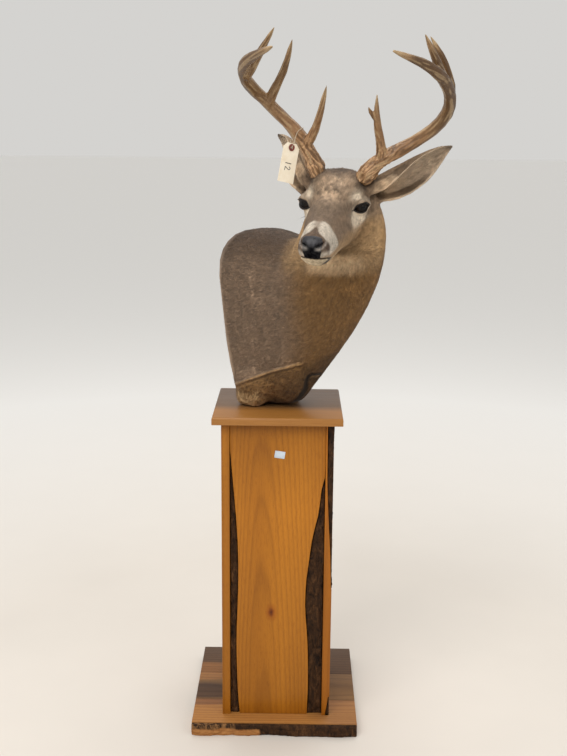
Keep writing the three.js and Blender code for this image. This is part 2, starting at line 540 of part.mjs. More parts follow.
// head from neck, along the jaw and behind the ears; the neck keeps the rest of the skull's back
const throat = inHead(-84, 0, -40);
const throatNormal = headF.clone().multiplyScalar(0.75).addScaledVector(headU, 0.66).normalize();
let [face, nape] = part(head, throat, throatNormal);
const faceRoom = headSolid(GAP).intersect(halfSpace(throat.clone().addScaledVector(throatNormal, -GAP / 2), throatNormal));
let below = flesh.add(nape).subtract(faceRoom);
const EAR_CUT = { forward: -66, out: 74, up: 16, normal: [-0.15, 0.85, 0.5] };
for (const [name, shape] of Object.entries(EAR_SHAPES)) {
  const sign = name === 'left' ? 1 : -1;
  const rootPoint = inHead(EAR_CUT.forward, sign * EAR_CUT.out, EAR_CUT.up);
  const [nf, nl, nu] = EAR_CUT.normal;
  const normal = V(nf, sign * nl, nu).transformDirection(headMatrix);
  const [outer, root] = part(ear(shape), rootPoint, normal);
  const fullRoom = ear(shape, GAP);
  skin(`ear_${name}`, outer);
  const room = fullRoom.intersect(halfSpace(rootPoint.clone().addScaledVector(normal, -GAP / 2), normal));
  face = face.add(root).subtract(room);
  below = below.subtract(fullRoom);
}
for (const room of beamRooms) face = face.subtract(room);

// nose pad, muzzle and lower jaw
const padOutline = new THREE.Shape();
const padMiddle = (NOSE_PAD.top + NOSE_PAD.bottom) / 2;
padOutline.absellipse(0, padMiddle, NOSE_PAD.halfWidth, (NOSE_PAD.top - NOSE_PAD.bottom) / 2, 0, 2 * Math.PI);
const padPrism = (grow) => {
  const prism = new THREE.ExtrudeGeometry(padOutline, { depth: 60, bevelEnabled: false, curveSegments: 9 });
  const place = new THREE.Matrix4().makeBasis(headL, headU, headF);
  place.setPosition(inHead(NOSE_PAD.back - grow, 0, 0));
  const widen = 1 + grow / NOSE_PAD.halfWidth;
  return solid(prism, place.multiply(new THREE.Matrix4().makeScale(widen, widen, 1)));
};
skin('nose_pad', face.intersect(padPrism(0)));
face = face.subtract(padPrism(GAP));
const [muzzleAndJaw, skull] = part(face, inHead(JAW_CUT, 0, 0), headF);
const mouthLine = V(NOSE_PAD.back - MOUTH.corner, 0, MOUTH.frontUp - MOUTH.cornerUp).normalize();
const mouthNormal = V(-mouthLine.z, 0, mouthLine.x).transformDirection(headMatrix);
const [muzzle, jaw] = part(muzzleAndJaw, inHead(MOUTH.corner, 0, MOUTH.cornerUp), mouthNormal);
skin('head', skull);
skin('muzzle', muzzle);
skin('lower_jaw', jaw);
for (const [name, side] of [['left', 1], ['right', -1]]) add(`eye_${name}`, eyeball(side), finish([0x120d0a, 0.05]));

// neck from trunk, and the leg stumps below the fold where the leg's hair begins
const NECK_CUT = 4.6;
const neckSection = sectionAt(NECK_CUT);
const neckNormal = neckSection.across.clone().cross(neckSection.up).negate();
const [neck, lower] = part(below, neckSection.centre, neckNormal.z > 0 ? neckNormal : neckNormal.negate());
skin('neck', neck);
const FOLD = { forward: 60, height: 862, slope: 0.36 };
const foldNormal = V(0, 0, 1).addScaledVector(forward, -FOLD.slope);
const [trunk, stumps] = part(lower, inBody(FOLD.forward, 0, FOLD.height), foldNormal);
skin('trunk', trunk);
const [stumpLeft, stumpRight] = part(stumps, inBody(0, 0, 900), leftward);
skin('foreleg_stump_left', stumpLeft);
skin('foreleg_stump_right', stumpRight);

// ---------------------------------------------------------------- tag on its string
const STRING = { along: 0.215, open: 64, pull: 2.5 };
const TAG_PLACE = { x: 22.5, y: -195, z: 1366, lean: -12, turn: 36 };
function buildTag() {
  const [w, h, c] = [TAG.width / 2, TAG.height / 2, TAG.clip];
  const outline = new THREE.Shape();
  [[-w, -h], [w, -h], [w, h - c], [w - c, h], [c - w, h], [-w, h - c]].forEach(([x, y], i) => (i ? outline.lineTo(x, y) : outline.moveTo(x, y)));
  outline.closePath();
  const holeUp = h - TAG.ring - 1.5;
  const hole = new THREE.Path();
  hole.absarc(0, holeUp, TAG.hole, 0, 2 * Math.PI, true);
  outline.holes.push(hole);
  const place = new THREE.Matrix4().makeRotationFromEuler(new THREE.Euler(Math.PI / 2, radians(-TAG_PLACE.lean), radians(TAG_PLACE.turn), 'ZYX'));
  place.setPosition(TAG_PLACE.x, TAG_PLACE.y, TAG_PLACE.z);
  const paper = new THREE.ExtrudeGeometry(outline, { depth: TAG.thickness, bevelEnabled: false, curveSegments: 6 });
  add('tag', solid(paper, place), finish([0xe9dfc4, 0.8]));
  const ringShape = new THREE.Shape();
  ringShape.absarc(0, holeUp, TAG.ring, 0, 2 * Math.PI, false);
  ringShape.holes.push(hole);
  const ring = new THREE.ExtrudeGeometry(ringShape, { depth: 0.5, bevelEnabled: false, curveSegments: 6 });
  const lift = new THREE.Matrix4().makeTranslation(0, 0, TAG.thickness + GAP);
  add('tag_ring', solid(ring, place.clone().multiply(lift)), finish([0x8d3b2e, 0.8]));
  return (x, y, z) => V(x, holeUp + y, z).applyMatrix4(place);
}
const atHole = buildTag();

/** Tag string: a closed loop round the right beam and through the tag's hole. */
function buildString() {
  const beam = curveOf(ANTLERS.right.beam);
  const middle = beam.getPointAt(STRING.along);
  const along = beam.getTangentAt(STRING.along);
  const down = atHole(0, 0, 0).sub(middle);
  down.addScaledVector(along, -down.dot(along)).normalize();
  const round = along.clone().cross(down);
  const reach = BEAM_RADIUS(STRING.along) + TAG.string / 2 + 1;
  const points = [atHole(0, 0, STRING.pull)];
  for (let angle = STRING.open; angle <= 360 - STRING.open + 1; angle += (180 - STRING.open) / 3) {
    const turn = radians(angle);
    points.push(middle.clone().addScaledVector(down, reach * Math.cos(turn)).addScaledVector(round, reach * Math.sin(turn)));
  }
  points.push(atHole(0, 0, -STRING.pull));
  const curve = new THREE.CatmullRomCurve3(points, true, 'centripetal');
  const steps = 30;
  const sides = 6;
  const frames = curve.computeFrenetFrames(steps, true);
  const positions = [];
  const index = [];
  for (let i = 0; i < steps; i++) {
    const centre = curve.getPointAt(i / steps);
    for (let k = 0; k < sides; k++) {
      const angle = 2 * Math.PI * k / sides;
      const p = centre.clone().addScaledVector(frames.normals[i], TAG.string / 2 * Math.cos(angle))
        .addScaledVector(frames.binormals[i], TAG.string / 2 * Math.sin(angle));
      positions.push(p.x, p.y, p.z);
      const [a, b] = [i * sides + k, i * sides + (k + 1) % sides];
      const [c, d] = [((i + 1) % steps) * sides + k, ((i + 1) % steps) * sides + (k + 1) % sides];
      index.push(a, b, c, b, d, c);
    }
  }
  const geometry = new THREE.BufferGeometry();
  geometry.setAttribute('position', new THREE.Float32BufferAttribute(positions, 3));
  geometry.setIndex(index);
  add('tag_string', solid(geometry), finish([0xe8e6df, 0.8]));
}
buildString();

export default group;
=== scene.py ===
"""A whitetail buck shoulder mount on its wooden pedestal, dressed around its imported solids. Metres, +Z up."""

import logging
import math
from dataclasses import dataclass, field
from enum import Enum

import bmesh
import bpy
import numpy as np
from mathutils import Matrix, Vector
from mathutils.bvhtree import BVHTree


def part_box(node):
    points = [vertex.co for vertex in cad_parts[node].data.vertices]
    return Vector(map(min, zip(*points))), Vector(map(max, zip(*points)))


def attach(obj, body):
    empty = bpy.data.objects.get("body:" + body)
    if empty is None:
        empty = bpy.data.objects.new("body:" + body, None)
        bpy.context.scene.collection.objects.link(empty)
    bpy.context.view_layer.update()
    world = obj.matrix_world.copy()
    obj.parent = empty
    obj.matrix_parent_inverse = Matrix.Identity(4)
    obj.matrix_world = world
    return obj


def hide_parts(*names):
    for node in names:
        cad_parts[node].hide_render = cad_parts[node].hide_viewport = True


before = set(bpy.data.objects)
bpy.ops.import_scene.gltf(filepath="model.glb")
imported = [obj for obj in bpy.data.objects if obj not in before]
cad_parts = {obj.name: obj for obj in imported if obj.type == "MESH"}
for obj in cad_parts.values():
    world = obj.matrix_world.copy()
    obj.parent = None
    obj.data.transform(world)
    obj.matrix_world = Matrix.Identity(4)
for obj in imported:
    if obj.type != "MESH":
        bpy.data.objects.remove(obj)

LOG = logging.getLogger("mount")
MM = 0.001
SEED = 29
BAKE_MAP = "OFBake"
PATCH = 0.003                 # width of a tuft's patch on the unwrap
COLOUR = "coat_colour"        # name of the colour attribute on skin, coat, antlers and eyes
MERGE = 2e-5                  # distance under which a solid's corners are one corner

Colour = tuple[float, float, float]


# ---------------------------------------------------------------------- arrays and meshes
def ramp(value: np.ndarray, start: float, end: float) -> np.ndarray:
    """Smooth step from 0 at start to 1 at end; start may be above end."""
    t = np.clip((value - start) / (end - start), 0.0, 1.0)
    return t * t * (3.0 - 2.0 * t)


def hill(value: np.ndarray, middle: float, spread: float) -> np.ndarray:
    """Bell curve of height 1 round middle."""
    return np.exp(-(((value - middle) / spread) ** 2))


def blob(local: np.ndarray, middle: tuple[float, float, float], radii: tuple[float, float, float],
         mirrored: bool = True) -> np.ndarray:
    """Soft ellipsoid of height 1 in a local frame in millimetres.

    Args:
        local: points, with the second column to the deer's left.
        middle: its centre; with mirrored, the one on the deer's left of a pair.
        radii: its half-sizes.
        mirrored: whether the same ellipsoid stands on the deer's right as well.

    Returns:
        One weight for each point.
    """
    across = np.abs(local[:, 1]) if mirrored else local[:, 1]
    offset = np.stack([local[:, 0] - middle[0], across - middle[1], local[:, 2] - middle[2]], 1)
    return np.exp(-((offset / np.array(radii)) ** 2).sum(1))


def mix(base: np.ndarray, other: np.ndarray, share: np.ndarray) -> np.ndarray:
    """Rows of base moved towards other by each row's share."""
    return base + share[:, None] * (np.asarray(other) - base)


def unit(vectors: np.ndarray) -> np.ndarray:
    """Rows scaled to length 1."""
    return vectors / np.maximum(np.linalg.norm(vectors, axis=1, keepdims=True), 1e-12)


def read_vectors(mesh: bpy.types.Mesh, name: str = "co") -> np.ndarray:
    """Vertex positions or normals of a mesh as rows."""
    out = np.empty(len(mesh.vertices) * 3, np.float32)
    mesh.vertices.foreach_get(name, out)
    return out.reshape(-1, 3).astype(float)


def write_points(mesh: bpy.types.Mesh, points: np.ndarray) -> None:
    """Moves a mesh's vertices to the given rows."""
    mesh.vertices.foreach_set("co", points.astype(np.float32).ravel())
    mesh.update()


def read_edges(mesh: bpy.types.Mesh) -> np.ndarray:
    """Vertex pairs of a mesh's edges as rows."""
    out = np.empty(len(mesh.edges) * 2, np.int32)
    mesh.edges.foreach_get("vertices", out)
    return out.reshape(-1, 2)


def triangles_of(mesh: bpy.types.Mesh) -> np.ndarray:
    """Vertex numbers of a mesh's triangles as rows."""
    mesh.calc_loop_triangles()
    out = np.empty(len(mesh.loop_triangles) * 3, np.int32)
    mesh.loop_triangles.foreach_get("vertices", out)
    return out.reshape(-1, 3)


def paint(mesh: bpy.types.Mesh, colours: np.ndarray, name: str = COLOUR) -> None:
    """Stores one linear colour for each vertex."""
    attribute = mesh.color_attributes.get(name) or mesh.color_attributes.new(name, "FLOAT_COLOR", "POINT")
    rows = np.concatenate([np.clip(colours, 0.0, 1.0), np.ones((len(colours), 1))], 1)
    attribute.data.foreach_set("color", rows.astype(np.float32).ravel())


def shade_smooth(mesh: bpy.types.Mesh) -> None:
    """Marks every face as smooth."""
    mesh.polygons.foreach_set("use_smooth", np.ones(len(mesh.polygons), bool))


def relax(points: np.ndarray, edges: np.ndarray, share: np.ndarray, rounds: int,
          keep: bool = False) -> np.ndarray:
    """Moves points towards their neighbours' middle.

    Args:
        points: vertex rows.
        edges: vertex pairs.
        share: how far each vertex moves in a round, 0 to 1.
        rounds: how many rounds.
        keep: whether every second round moves outwards again, so that thin parts stay thick.

    Returns:
        The new vertex rows.
    """
    count = len(points)
    near, far = edges.T
    neighbours = np.bincount(near, minlength=count) + np.bincount(far, minlength=count)
    for turn in range(rounds):
        total = np.empty_like(points)
        for axis in range(3):
            total[:, axis] = (np.bincount(near, points[far, axis], count)
                              + np.bincount(far, points[near, axis], count))
        sign = -1.04 if keep and turn % 2 else 1.0
        points = points + sign * share[:, None] * (total / neighbours[:, None] - points)
    return points


def new_object(name: str, mesh: bpy.types.Mesh) -> bpy.types.Object:
    """An object at the origin that shows a mesh."""
    thing = bpy.data.objects.new(name, mesh)
    bpy.context.scene.collection.objects.link(thing)
    return thing


def finished(thing: bpy.types.Object) -> bpy.types.Object:
    """Applies an object's modifiers to its mesh."""
    depsgraph = bpy.context.evaluated_depsgraph_get()
    mesh = bpy.data.meshes.new_from_object(thing.evaluated_get(depsgraph))
    thing.modifiers.clear()
    old = thing.data
    thing.data = mesh
    bpy.data.meshes.remove(old)
    return thing


def copied_solids(name: str, nodes: list[str], grow: float = 0.0) -> bpy.types.Object:
    """One object that holds merged copies of several solids, each grown a little so that they meet.

    Args:
        name: the object's name.
        nodes: the solids' node names.
        grow: how far every surface moves outwards.

    Returns:
        The new object.
    """
    whole = bmesh.new()
    for node in nodes:
        piece = bmesh.new()
        piece.from_mesh(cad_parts[node].data)
        bmesh.ops.remove_doubles(piece, verts=piece.verts, dist=MERGE)
        bmesh.ops.recalc_face_normals(piece, faces=piece.faces)
        piece.normal_update()
        for vert in piece.verts:
            vert.co += vert.normal * grow
        copy = bpy.data.meshes.new(node)
        piece.to_mesh(copy)
        piece.free()
        whole.from_mesh(copy)
        bpy.data.meshes.remove(copy)
    mesh = bpy.data.meshes.new(name)
    whole.to_mesh(mesh)
    whole.free()
    return new_object(name, mesh)


def fused(thing: bpy.types.Object, voxel: float) -> bpy.types.Object:
    """Rebuilds an object's mesh as one even skin round all its shells."""
    remesh = thing.modifiers.new("fuse", "REMESH")
    remesh.mode = "VOXEL"
    remesh.voxel_size = voxel
    return finished(thing)


def dress(piece: bpy.types.Object, nodes: list[str],
          material: bpy.types.Material) -> bpy.types.Object:
    """Gives a finished piece its material and its body, hides the solids it stands for, and reports it.

    Args:
        piece: the piece.
        nodes: the solids that it replaces.
        material: its finish.

    Returns:
        The piece.
    """
    piece.data.materials.clear()
    piece.data.materials.append(material)
    shade_smooth(piece.data)
    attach(piece, "root")
    if nodes:
        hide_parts(*nodes)
    LOG.info("%s: %d faces", piece.name, len(piece.data.polygons))
    return piece


class Grain:
    """Smooth value noise in space that is the same on every run."""

    def __init__(self, seed: int, size: int = 32) -> None:
        """Fills the lattice.

        Args:
            seed: number of the lattice.
            size: its points along each side, after which it repeats.
        """
        self.size = size
        self.values = np.random.default_rng(seed).random((size, size, size)) * 2.0 - 1.0

    def at(self, points: np.ndarray, length: float | tuple[float, float, float]) -> np.ndarray:
        """Noise from -1 to 1.

        Args:
            points: rows.
            length: size of a bump, along all axes or each.

        Returns:
            One value for each row.
        """
        place = points / np.asarray(length)
        low = np.floor(place).astype(int)
        part = place - low
        part = part * part * (3.0 - 2.0 * part)
        total = np.zeros(len(points))
        for dx in (0, 1):
            for dy in (0, 1):
                for dz in (0, 1):
                    weight = np.abs(1 - dx - part[:, 0]) * np.abs(1 - dy - part[:, 1])
                    weight *= np.abs(1 - dz - part[:, 2])
                    i, j, k = (low + (dx, dy, dz)).T % self.size
                    total += weight * self.values[i, j, k]
        return total


# ---------------------------------------------------------------------- the mount's frames
@dataclass(frozen=True)
class Axes:
    """A frame on the mount: an origin, and unit rows ahead, to the deer's left and up."""

    origin: np.ndarray
    rows: np.ndarray

    def local(self, points: np.ndarray) -> np.ndarray:
        """Points in this frame, in millimetres."""
        return (points - self.origin) @ self.rows.T / MM

    def world(self, local: np.ndarray) -> np.ndarray:
        """Points of this frame, given in millimetres, in the row frame."""
        return self.origin + (np.asarray(local, float) * MM) @ self.rows

    def turned(self, local: np.ndarray) -> np.ndarray:
        """Directions of this frame in the row frame."""
        return np.asarray(local, float) @ self.rows


@dataclass(frozen=True)
class HeadPose:
    """How the head is held, and where the eyes' centres sit in its frame, in degrees and millimetres."""

    azimuth: float = -14.6
    elevation: float = -19.5
    roll: float = -2.5
    eyes_ahead: float = -10.0
    eyes_up: float = -1.0

    def axes(self) -> Axes:
        """The head's frame, hung on the two eye solids."""
        turn, rise, tilt = (math.radians(a) for a in (self.azimuth, self.elevation, self.roll))
        ahead = np.array([math.sin(turn) * math.cos(rise), -math.cos(turn) * math.cos(rise), math.sin(rise)])
        level = np.array([math.cos(turn), math.sin(turn), 0.0])
        upright = np.cross(ahead, level)
        left = level * math.cos(tilt) + upright * math.sin(tilt)
        up = upright * math.cos(tilt) - level * math.sin(tilt)
        middle = (box_middle("eye_left") + box_middle("eye_right")) / 2
        return Axes(middle - (self.eyes_ahead * ahead + self.eyes_up * up) * MM, np.stack([ahead, left, up]))


@dataclass(frozen=True)
class BodyPose:
    """Where the trunk's flat back stands and which way the chest points."""

    x: float = -0.050
    y: float = 0.025
    turn: float = 42.0

    def axes(self) -> Axes:
        """The trunk's frame: ahead of the flat back, to the deer's left, and the height above the floor."""
        c, s = math.cos(math.radians(self.turn)), math.sin(math.radians(self.turn))
        return Axes(np.array([self.x, self.y, 0.0]), np.array([[c, -s, 0.0], [s, c, 0.0], [0.0, 0.0, 1.0]]))


def box_middle(node: str) -> np.ndarray:
    """Centre of a solid's box."""
    low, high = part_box(node)
    return np.array((low + high) / 2)


HEAD = HeadPose().axes()
BODY = BodyPose().axes()


@dataclass
class EyeSocket:
    """One eye's frame and lid opening, in millimetres from the eyeball's centre.

    Attributes:
        side: 1 for the deer's left eye and -1 for its right.
        turn: how far the eye looks to the side, in degrees from straight ahead.
        tilt: how far its front corner hangs, in degrees.
        half_length: half the opening from corner to corner.
        rise: height of the upper lid's arch.
        fall: depth of the lower lid's arch.
        lid: thickness of the lids over the ball.
        fullness: how square the almond is.
        roll: height of the roll along the lids.
        outwards: how far the left and the right eyeball sit outside their solids.
    """

    side: int
    turn: float = 43.0
    tilt: float = 4.0
    half_length: float = 16.8
    rise: float = 9.6
    fall: float = 7.6
    lid: float = 1.3
    fullness: float = 2.6
    roll: float = 3.0
    outwards: tuple[float, float] = (0.6, 3.6)

    def __post_init__(self) -> None:
        """Finds the eyeball and the eye's own axes."""
        name = "eye_left" if self.side > 0 else "eye_right"
        low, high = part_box(name)
        shift = self.outwards[0 if self.side > 0 else 1]
        self.centre = np.array((low + high) / 2) + HEAD.turned([0.0, self.side * shift * MM, 0.0])
        self.radius_mm = (high.z - low.z) / 2 / MM
        turn, tilt = math.radians(self.turn), math.radians(self.tilt)
        ahead, left, up = HEAD.rows
        self.out = ahead * math.cos(turn) + left * self.side * math.sin(turn)
        level = ahead * math.sin(turn) - left * self.side * math.cos(turn)
        self.front = level * math.cos(tilt) - up * math.sin(tilt)
        self.above = up * math.cos(tilt) + level * math.sin(tilt)
        self.rows = np.stack([self.front, self.above, self.out])

    def local(self, points: np.ndarray) -> np.ndarray:
        """Points as millimetres to the front corner, above, and outwards."""
        return (points - self.centre) @ self.rows.T / MM

    def beyond(self, place: np.ndarray) -> np.ndarray:
        """How far each local point lies outside the almond opening, in millimetres, negative inside."""
        x, y = place[:, 0], place[:, 1]
        height = np.where(y > 0, self.rise, self.fall)
        along = np.abs(x / self.half_length)
        value = along ** self.fullness + np.abs(y) / height - 1.0
        steep = self.fullness * along ** (self.fullness - 1) / self.half_length
        return value / np.sqrt(steep ** 2 + (1 / height) ** 2)


@dataclass
class EarFrame:
    """One ear's middle line in the head's frame, in millimetres, and the way its cup opens."""

    side: int
    line: np.ndarray
    opening: np.ndarray

    def place(self, points: np.ndarray) -> tuple[np.ndarray, np.ndarray, np.ndarray]:
        """Where points lie on the ear.

        Args:
            points: rows in the row frame.

        Returns:
            The share of the way to the tip, the distance from the middle line, and the offsets from it.
        """
        local = HEAD.local(points)
        spans = np.diff(self.line, axis=0)
        lengths = np.linalg.norm(spans, axis=1)
        best = np.full(len(local), 1e9)
        share = np.zeros(len(local))
        offset = np.zeros_like(local)
        for i, (start, span) in enumerate(zip(self.line[:-1], spans)):
            t = np.clip((local - start) @ span / lengths[i] ** 2, 0.0, 1.0)
            apart = local - start - t[:, None] * span
            distance = np.linalg.norm(apart, axis=1)
            nearer = distance < best
            best = np.where(nearer, distance, best)
            share = np.where(nearer, (lengths[:i].sum() + t * lengths[i]) / lengths.sum(), share)
            offset = np.where(nearer[:, None], apart, offset)
        return share, best, offset


def head_share(local: np.ndarray) -> np.ndarray:
    """How much points of the head's frame belong to the head and not to the neck or trunk."""
    ahead, left, up = local.T
    back = ramp(ahead + 0.35 * np.minimum(up + 60, 0), -112, -62)
    return back * ramp(up, -158, -128) * ramp(np.abs(left), 122, 92)


EYES = {side: EyeSocket(side) for side in (1, -1)}
EARS = {
    1: EarFrame(1, np.array([[-62, 58, 4], [-79, 160, 46], [-95, 238, 110.0]]),
                unit(np.array([[0.84, 0.30, -0.45]]))[0]),
    -1: EarFrame(-1, np.array([[-62, -58, 4], [-114, -122, 48], [-186, -172, 82.0]]),
                 unit(np.array([[0.80, -0.58, -0.16]]))[0]),
}
SEAM_CLIMB = 0.1875           # how much the stumps' seams rise for each millimetre ahead and out
EAR_START = 0.16              # share of an ear's length where its own markings and hair begin


def ear_share(points: np.ndarray) -> tuple[np.ndarray, np.ndarray]:
    """How much each point belongs to an ear, and how far along that ear it lies."""
    weight = np.zeros(len(points))
    along = np.zeros(len(points))
    for ear in EARS.values():
        share, distance, _ = ear.place(points)
        outside = HEAD.local(points)[:, 1] * ear.side
        own = ramp(share, EAR_START - 0.08, EAR_START + 0.06) * ramp(distance, 60, 50) * ramp(outside, 66, 78)
        along = np.where(own > weight, share, along)
        weight = np.maximum(weight, own)
    return weight, along


# ---------------------------------------------------------------------- finishes
class Shader:
    """A material under construction: its node tree, its main shader and short ways to add nodes."""

    def __init__(self, name: str, roughness: float, specular: float = 0.5) -> None:
        """Starts the material.

        Args:
            name: the material's name.
            roughness: the main shader's roughness.
            specular: its specular level.
        """
        self.material = bpy.data.materials.new(name)
        self.material.use_nodes = True
        self.tree = self.material.node_tree
        self.body = self.tree.nodes["Principled BSDF"]
        self.body.inputs["Roughness"].default_value = roughness
        self.body.inputs["Specular IOR Level"].default_value = specular
        self.place = self.node("ShaderNodeTexCoord").outputs["Object"]

    def node(self, kind: str, settings: dict | None = None, **values) -> bpy.types.Node:
        """Adds a node.

        Args:
            kind: its type.
            settings: its own options by name.
            values: its inputs by name, with _ for a space; a socket is linked, anything else is set.

        Returns:
            The node.
        """
        node = self.tree.nodes.new(kind)
        for key, value in (settings or {}).items():
            setattr(node, key, value)
        for key, value in values.items():
            self.put(node.inputs[key.replace("_", " ")], value)
        return node

    def put(self, socket: bpy.types.NodeSocket, value: object) -> None:
        """Links a socket to another, or sets its value."""
        if isinstance(value, bpy.types.NodeSocket):
            self.tree.links.new(value, socket)
        else:
            socket.default_value = value

    def mapped(self, scale: tuple[float, float, float], turn: tuple[float, float, float] = (0, 0, 0),
               shift: tuple[float, float, float] = (0, 0, 0)) -> bpy.types.NodeSocket:
        """Object coordinates shifted, turned and scaled."""
        return self.node("ShaderNodeMapping", Vector=self.place, Location=shift, Rotation=turn,
                         Scale=scale).outputs[0]

    def noise(self, vector: bpy.types.NodeSocket, scale: float, detail: float = 3.0, roughness: float = 0.55,
              distortion: float = 0.0) -> bpy.types.NodeSocket:
        """Noise from 0 to 1."""
        return self.node("ShaderNodeTexNoise", Vector=vector, Scale=scale, Detail=detail, Roughness=roughness,
                         Distortion=distortion).outputs[0]

    def ramp(self, factor: bpy.types.NodeSocket,
             stops: list[tuple[float, Colour | float]]) -> bpy.types.NodeSocket:
        """A colour ramp through stops of place and colour, where one number is a grey."""
        node = self.node("ShaderNodeValToRGB", Fac=factor)
        elements = node.color_ramp.elements
        while len(elements) < len(stops):
            elements.new(0.5)
        for element, (place, colour) in zip(elements, stops):
            element.position = place
            element.color = (*colour, 1.0) if isinstance(colour, tuple) else (colour, colour, colour, 1.0)
        return node.outputs[0]

    def grey(self, factor: bpy.types.NodeSocket, low: float, high: float) -> bpy.types.NodeSocket:
        """Stretches a factor so that low becomes 0 and high 1."""
        return self.node("ShaderNodeMapRange", Value=factor, From_Min=low, From_Max=high).outputs[0]

    def math(self, kind: str, first: object, second: object = 0.0) -> bpy.types.NodeSocket:
        """One arithmetic step."""
        node = self.node("ShaderNodeMath", {"operation": kind})
        self.put(node.inputs[0], first)
        self.put(node.inputs[1], second)
        return node.outputs[0]

    def mix(self, first: object, second: object, factor: object, kind: str = "MIX") -> bpy.types.NodeSocket:
        """Mixes two colours."""
        node = self.node("ShaderNodeMix", {"data_type": "RGBA", "blend_type": kind})
        self.put(node.inputs[0], factor)
        for socket, value in ((node.inputs[6], first), (node.inputs[7], second)):
            self.put(socket, value if isinstance(value, bpy.types.NodeSocket) else (*value, 1.0))
        return node.outputs[2]

    def tinted(self, colour: object, factor: bpy.types.NodeSocket, stops: list[tuple[float, Colour | float]],
               share: float = 1.0) -> bpy.types.NodeSocket:
        """A colour multiplied by the ramp of a factor."""
        return self.mix(colour, self.ramp(factor, stops), share, "MULTIPLY")

    def between(self, factor: bpy.types.NodeSocket, low: float, high: float) -> bpy.types.NodeSocket:
        """A factor from 0 to 1 brought between low and high."""
        return self.node("ShaderNodeMapRange", Value=factor, To_Min=low, To_Max=high).outputs[0]

    def length_of(self, vector: bpy.types.NodeSocket) -> bpy.types.NodeSocket:
        """Length of a vector."""
        return self.node("ShaderNodeVectorMath", {"operation": "LENGTH"}, Vector=vector).outputs[1]

    def axis(self, number: int) -> bpy.types.NodeSocket:
        """One of the object coordinates: 0 for X, 1 for Y, 2 for Z."""
        return self.node("ShaderNodeSeparateXYZ", Vector=self.place).outputs[number]

    def painted(self) -> bpy.types.NodeSocket:
        """The piece's own colour attribute."""
        return self.node("ShaderNodeVertexColor", {"layer_name": COLOUR}).outputs[0]

    def bump(self, height: bpy.types.NodeSocket, distance: float, strength: float = 1.0) -> None:
        """Adds a bump on top of any there already; distance is in millimetres."""
        node = self.node("ShaderNodeBump", Height=height, Distance=distance * MM, Strength=strength)
        before = self.body.inputs["Normal"]
        if before.is_linked:
            self.tree.links.new(before.links[0].from_socket, node.inputs["Normal"])
        self.put(before, node.outputs[0])

    def finish(self, colour: bpy.types.NodeSocket,
               roughness: bpy.types.NodeSocket | None = None) -> bpy.types.Material:
        """Sets the colour, and the roughness where it varies, and returns the material."""
        self.put(self.body.inputs["Base Color"], colour)
        if roughness is not None:
            self.put(self.body.inputs["Roughness"], roughness)
        return self.material


@dataclass(frozen=True)
class FurFinish:
    """Deer hair: its own colour, a dull surface and a soft sheen.

    Attributes:
        name: the material's name.
        roughness: of the hair.
        sheen: weight of the soft sheen.
        fleck: how dark the finest flecks are, 0 to 1.
        bump: height of the finest relief in millimetres.
    """

    name: str
    roughness: float = 0.72
    sheen: float = 0.05
    fleck: float = 0.16
    bump: float = 0.0

    def material(self) -> bpy.types.Material:
        """Builds the material."""
        s = Shader(self.name, self.roughness, 0.18)
        s.body.inputs["Sheen Weight"].default_value = self.sheen
        s.body.inputs["Sheen Roughness"].default_value = 0.5
        fleck = s.noise(s.mapped((1, 1, 0.6)), 900.0, 2.0)
        cloud = s.noise(s.place, 38.0, 4.0)
        colour = s.tinted(s.painted(), fleck, [(0.3, 1 - self.fleck), (0.7, 1.0)])
        colour = s.tinted(colour, cloud, [(0.3, (0.93, 0.92, 0.90)), (0.7, 1.0)])
        if self.bump:
            s.bump(s.noise(s.mapped((1, 1, 0.45)), 1400.0, 3.0, 0.7), self.bump)
            s.bump(s.noise(s.place, 260.0, 3.0), self.bump * 1.5)
        return s.finish(colour)


@dataclass(frozen=True)
class NoseFinish:
    """The black nose: pebbled, moulded skin, glossy above and dull below."""

    def material(self) -> bpy.types.Material:
        """Builds the material."""
        s = Shader("nose skin", 0.42, 0.3)
        gloss = s.math("MULTIPLY", s.grey(s.painted(), 0.004, 0.018), 0.42)
        s.put(s.body.inputs["Specular IOR Level"], gloss)
        cells = s.node("ShaderNodeTexVoronoi", {"feature": "DISTANCE_TO_EDGE"}, Vector=s.place,
                       Scale=620.0).outputs[0]
        fine = s.noise(s.place, 1500.0, 3.0)
        tone = s.noise(s.place, 90.0, 4.0)
        s.bump(s.grey(cells, 0.0, 0.12), 0.16, 0.5)
        s.bump(fine, 0.04, 0.4)
        colour = s.tinted(s.painted(), tone, [(0.35, 0.6), (0.75, 1.5)])
        # Painted shade in the grooves between the pebbles.
        colour = s.tinted(colour, cells, [(0.0, 0.55), (0.1, 1.0)])
        return s.finish(colour, s.between(tone, 0.30, 0.5))


@dataclass(frozen=True)
class EyeFinish:
    """A glass eye: dark brown iris with a wide, nearly black pupil under clear gloss."""

    def material(self) -> bpy.types.Material:
        """Builds the material."""
        s = Shader("eye glass", 0.35, 0.0)
        s.body.inputs["Coat Weight"].default_value = 0.3
        s.body.inputs["Coat Roughness"].default_value = 0.03
        fibre = s.noise(s.place, 420.0, 5.0, 0.7, 0.6)
        return s.finish(s.tinted(s.painted(), fibre, [(0.3, 0.6), (0.7, 1.0)]))


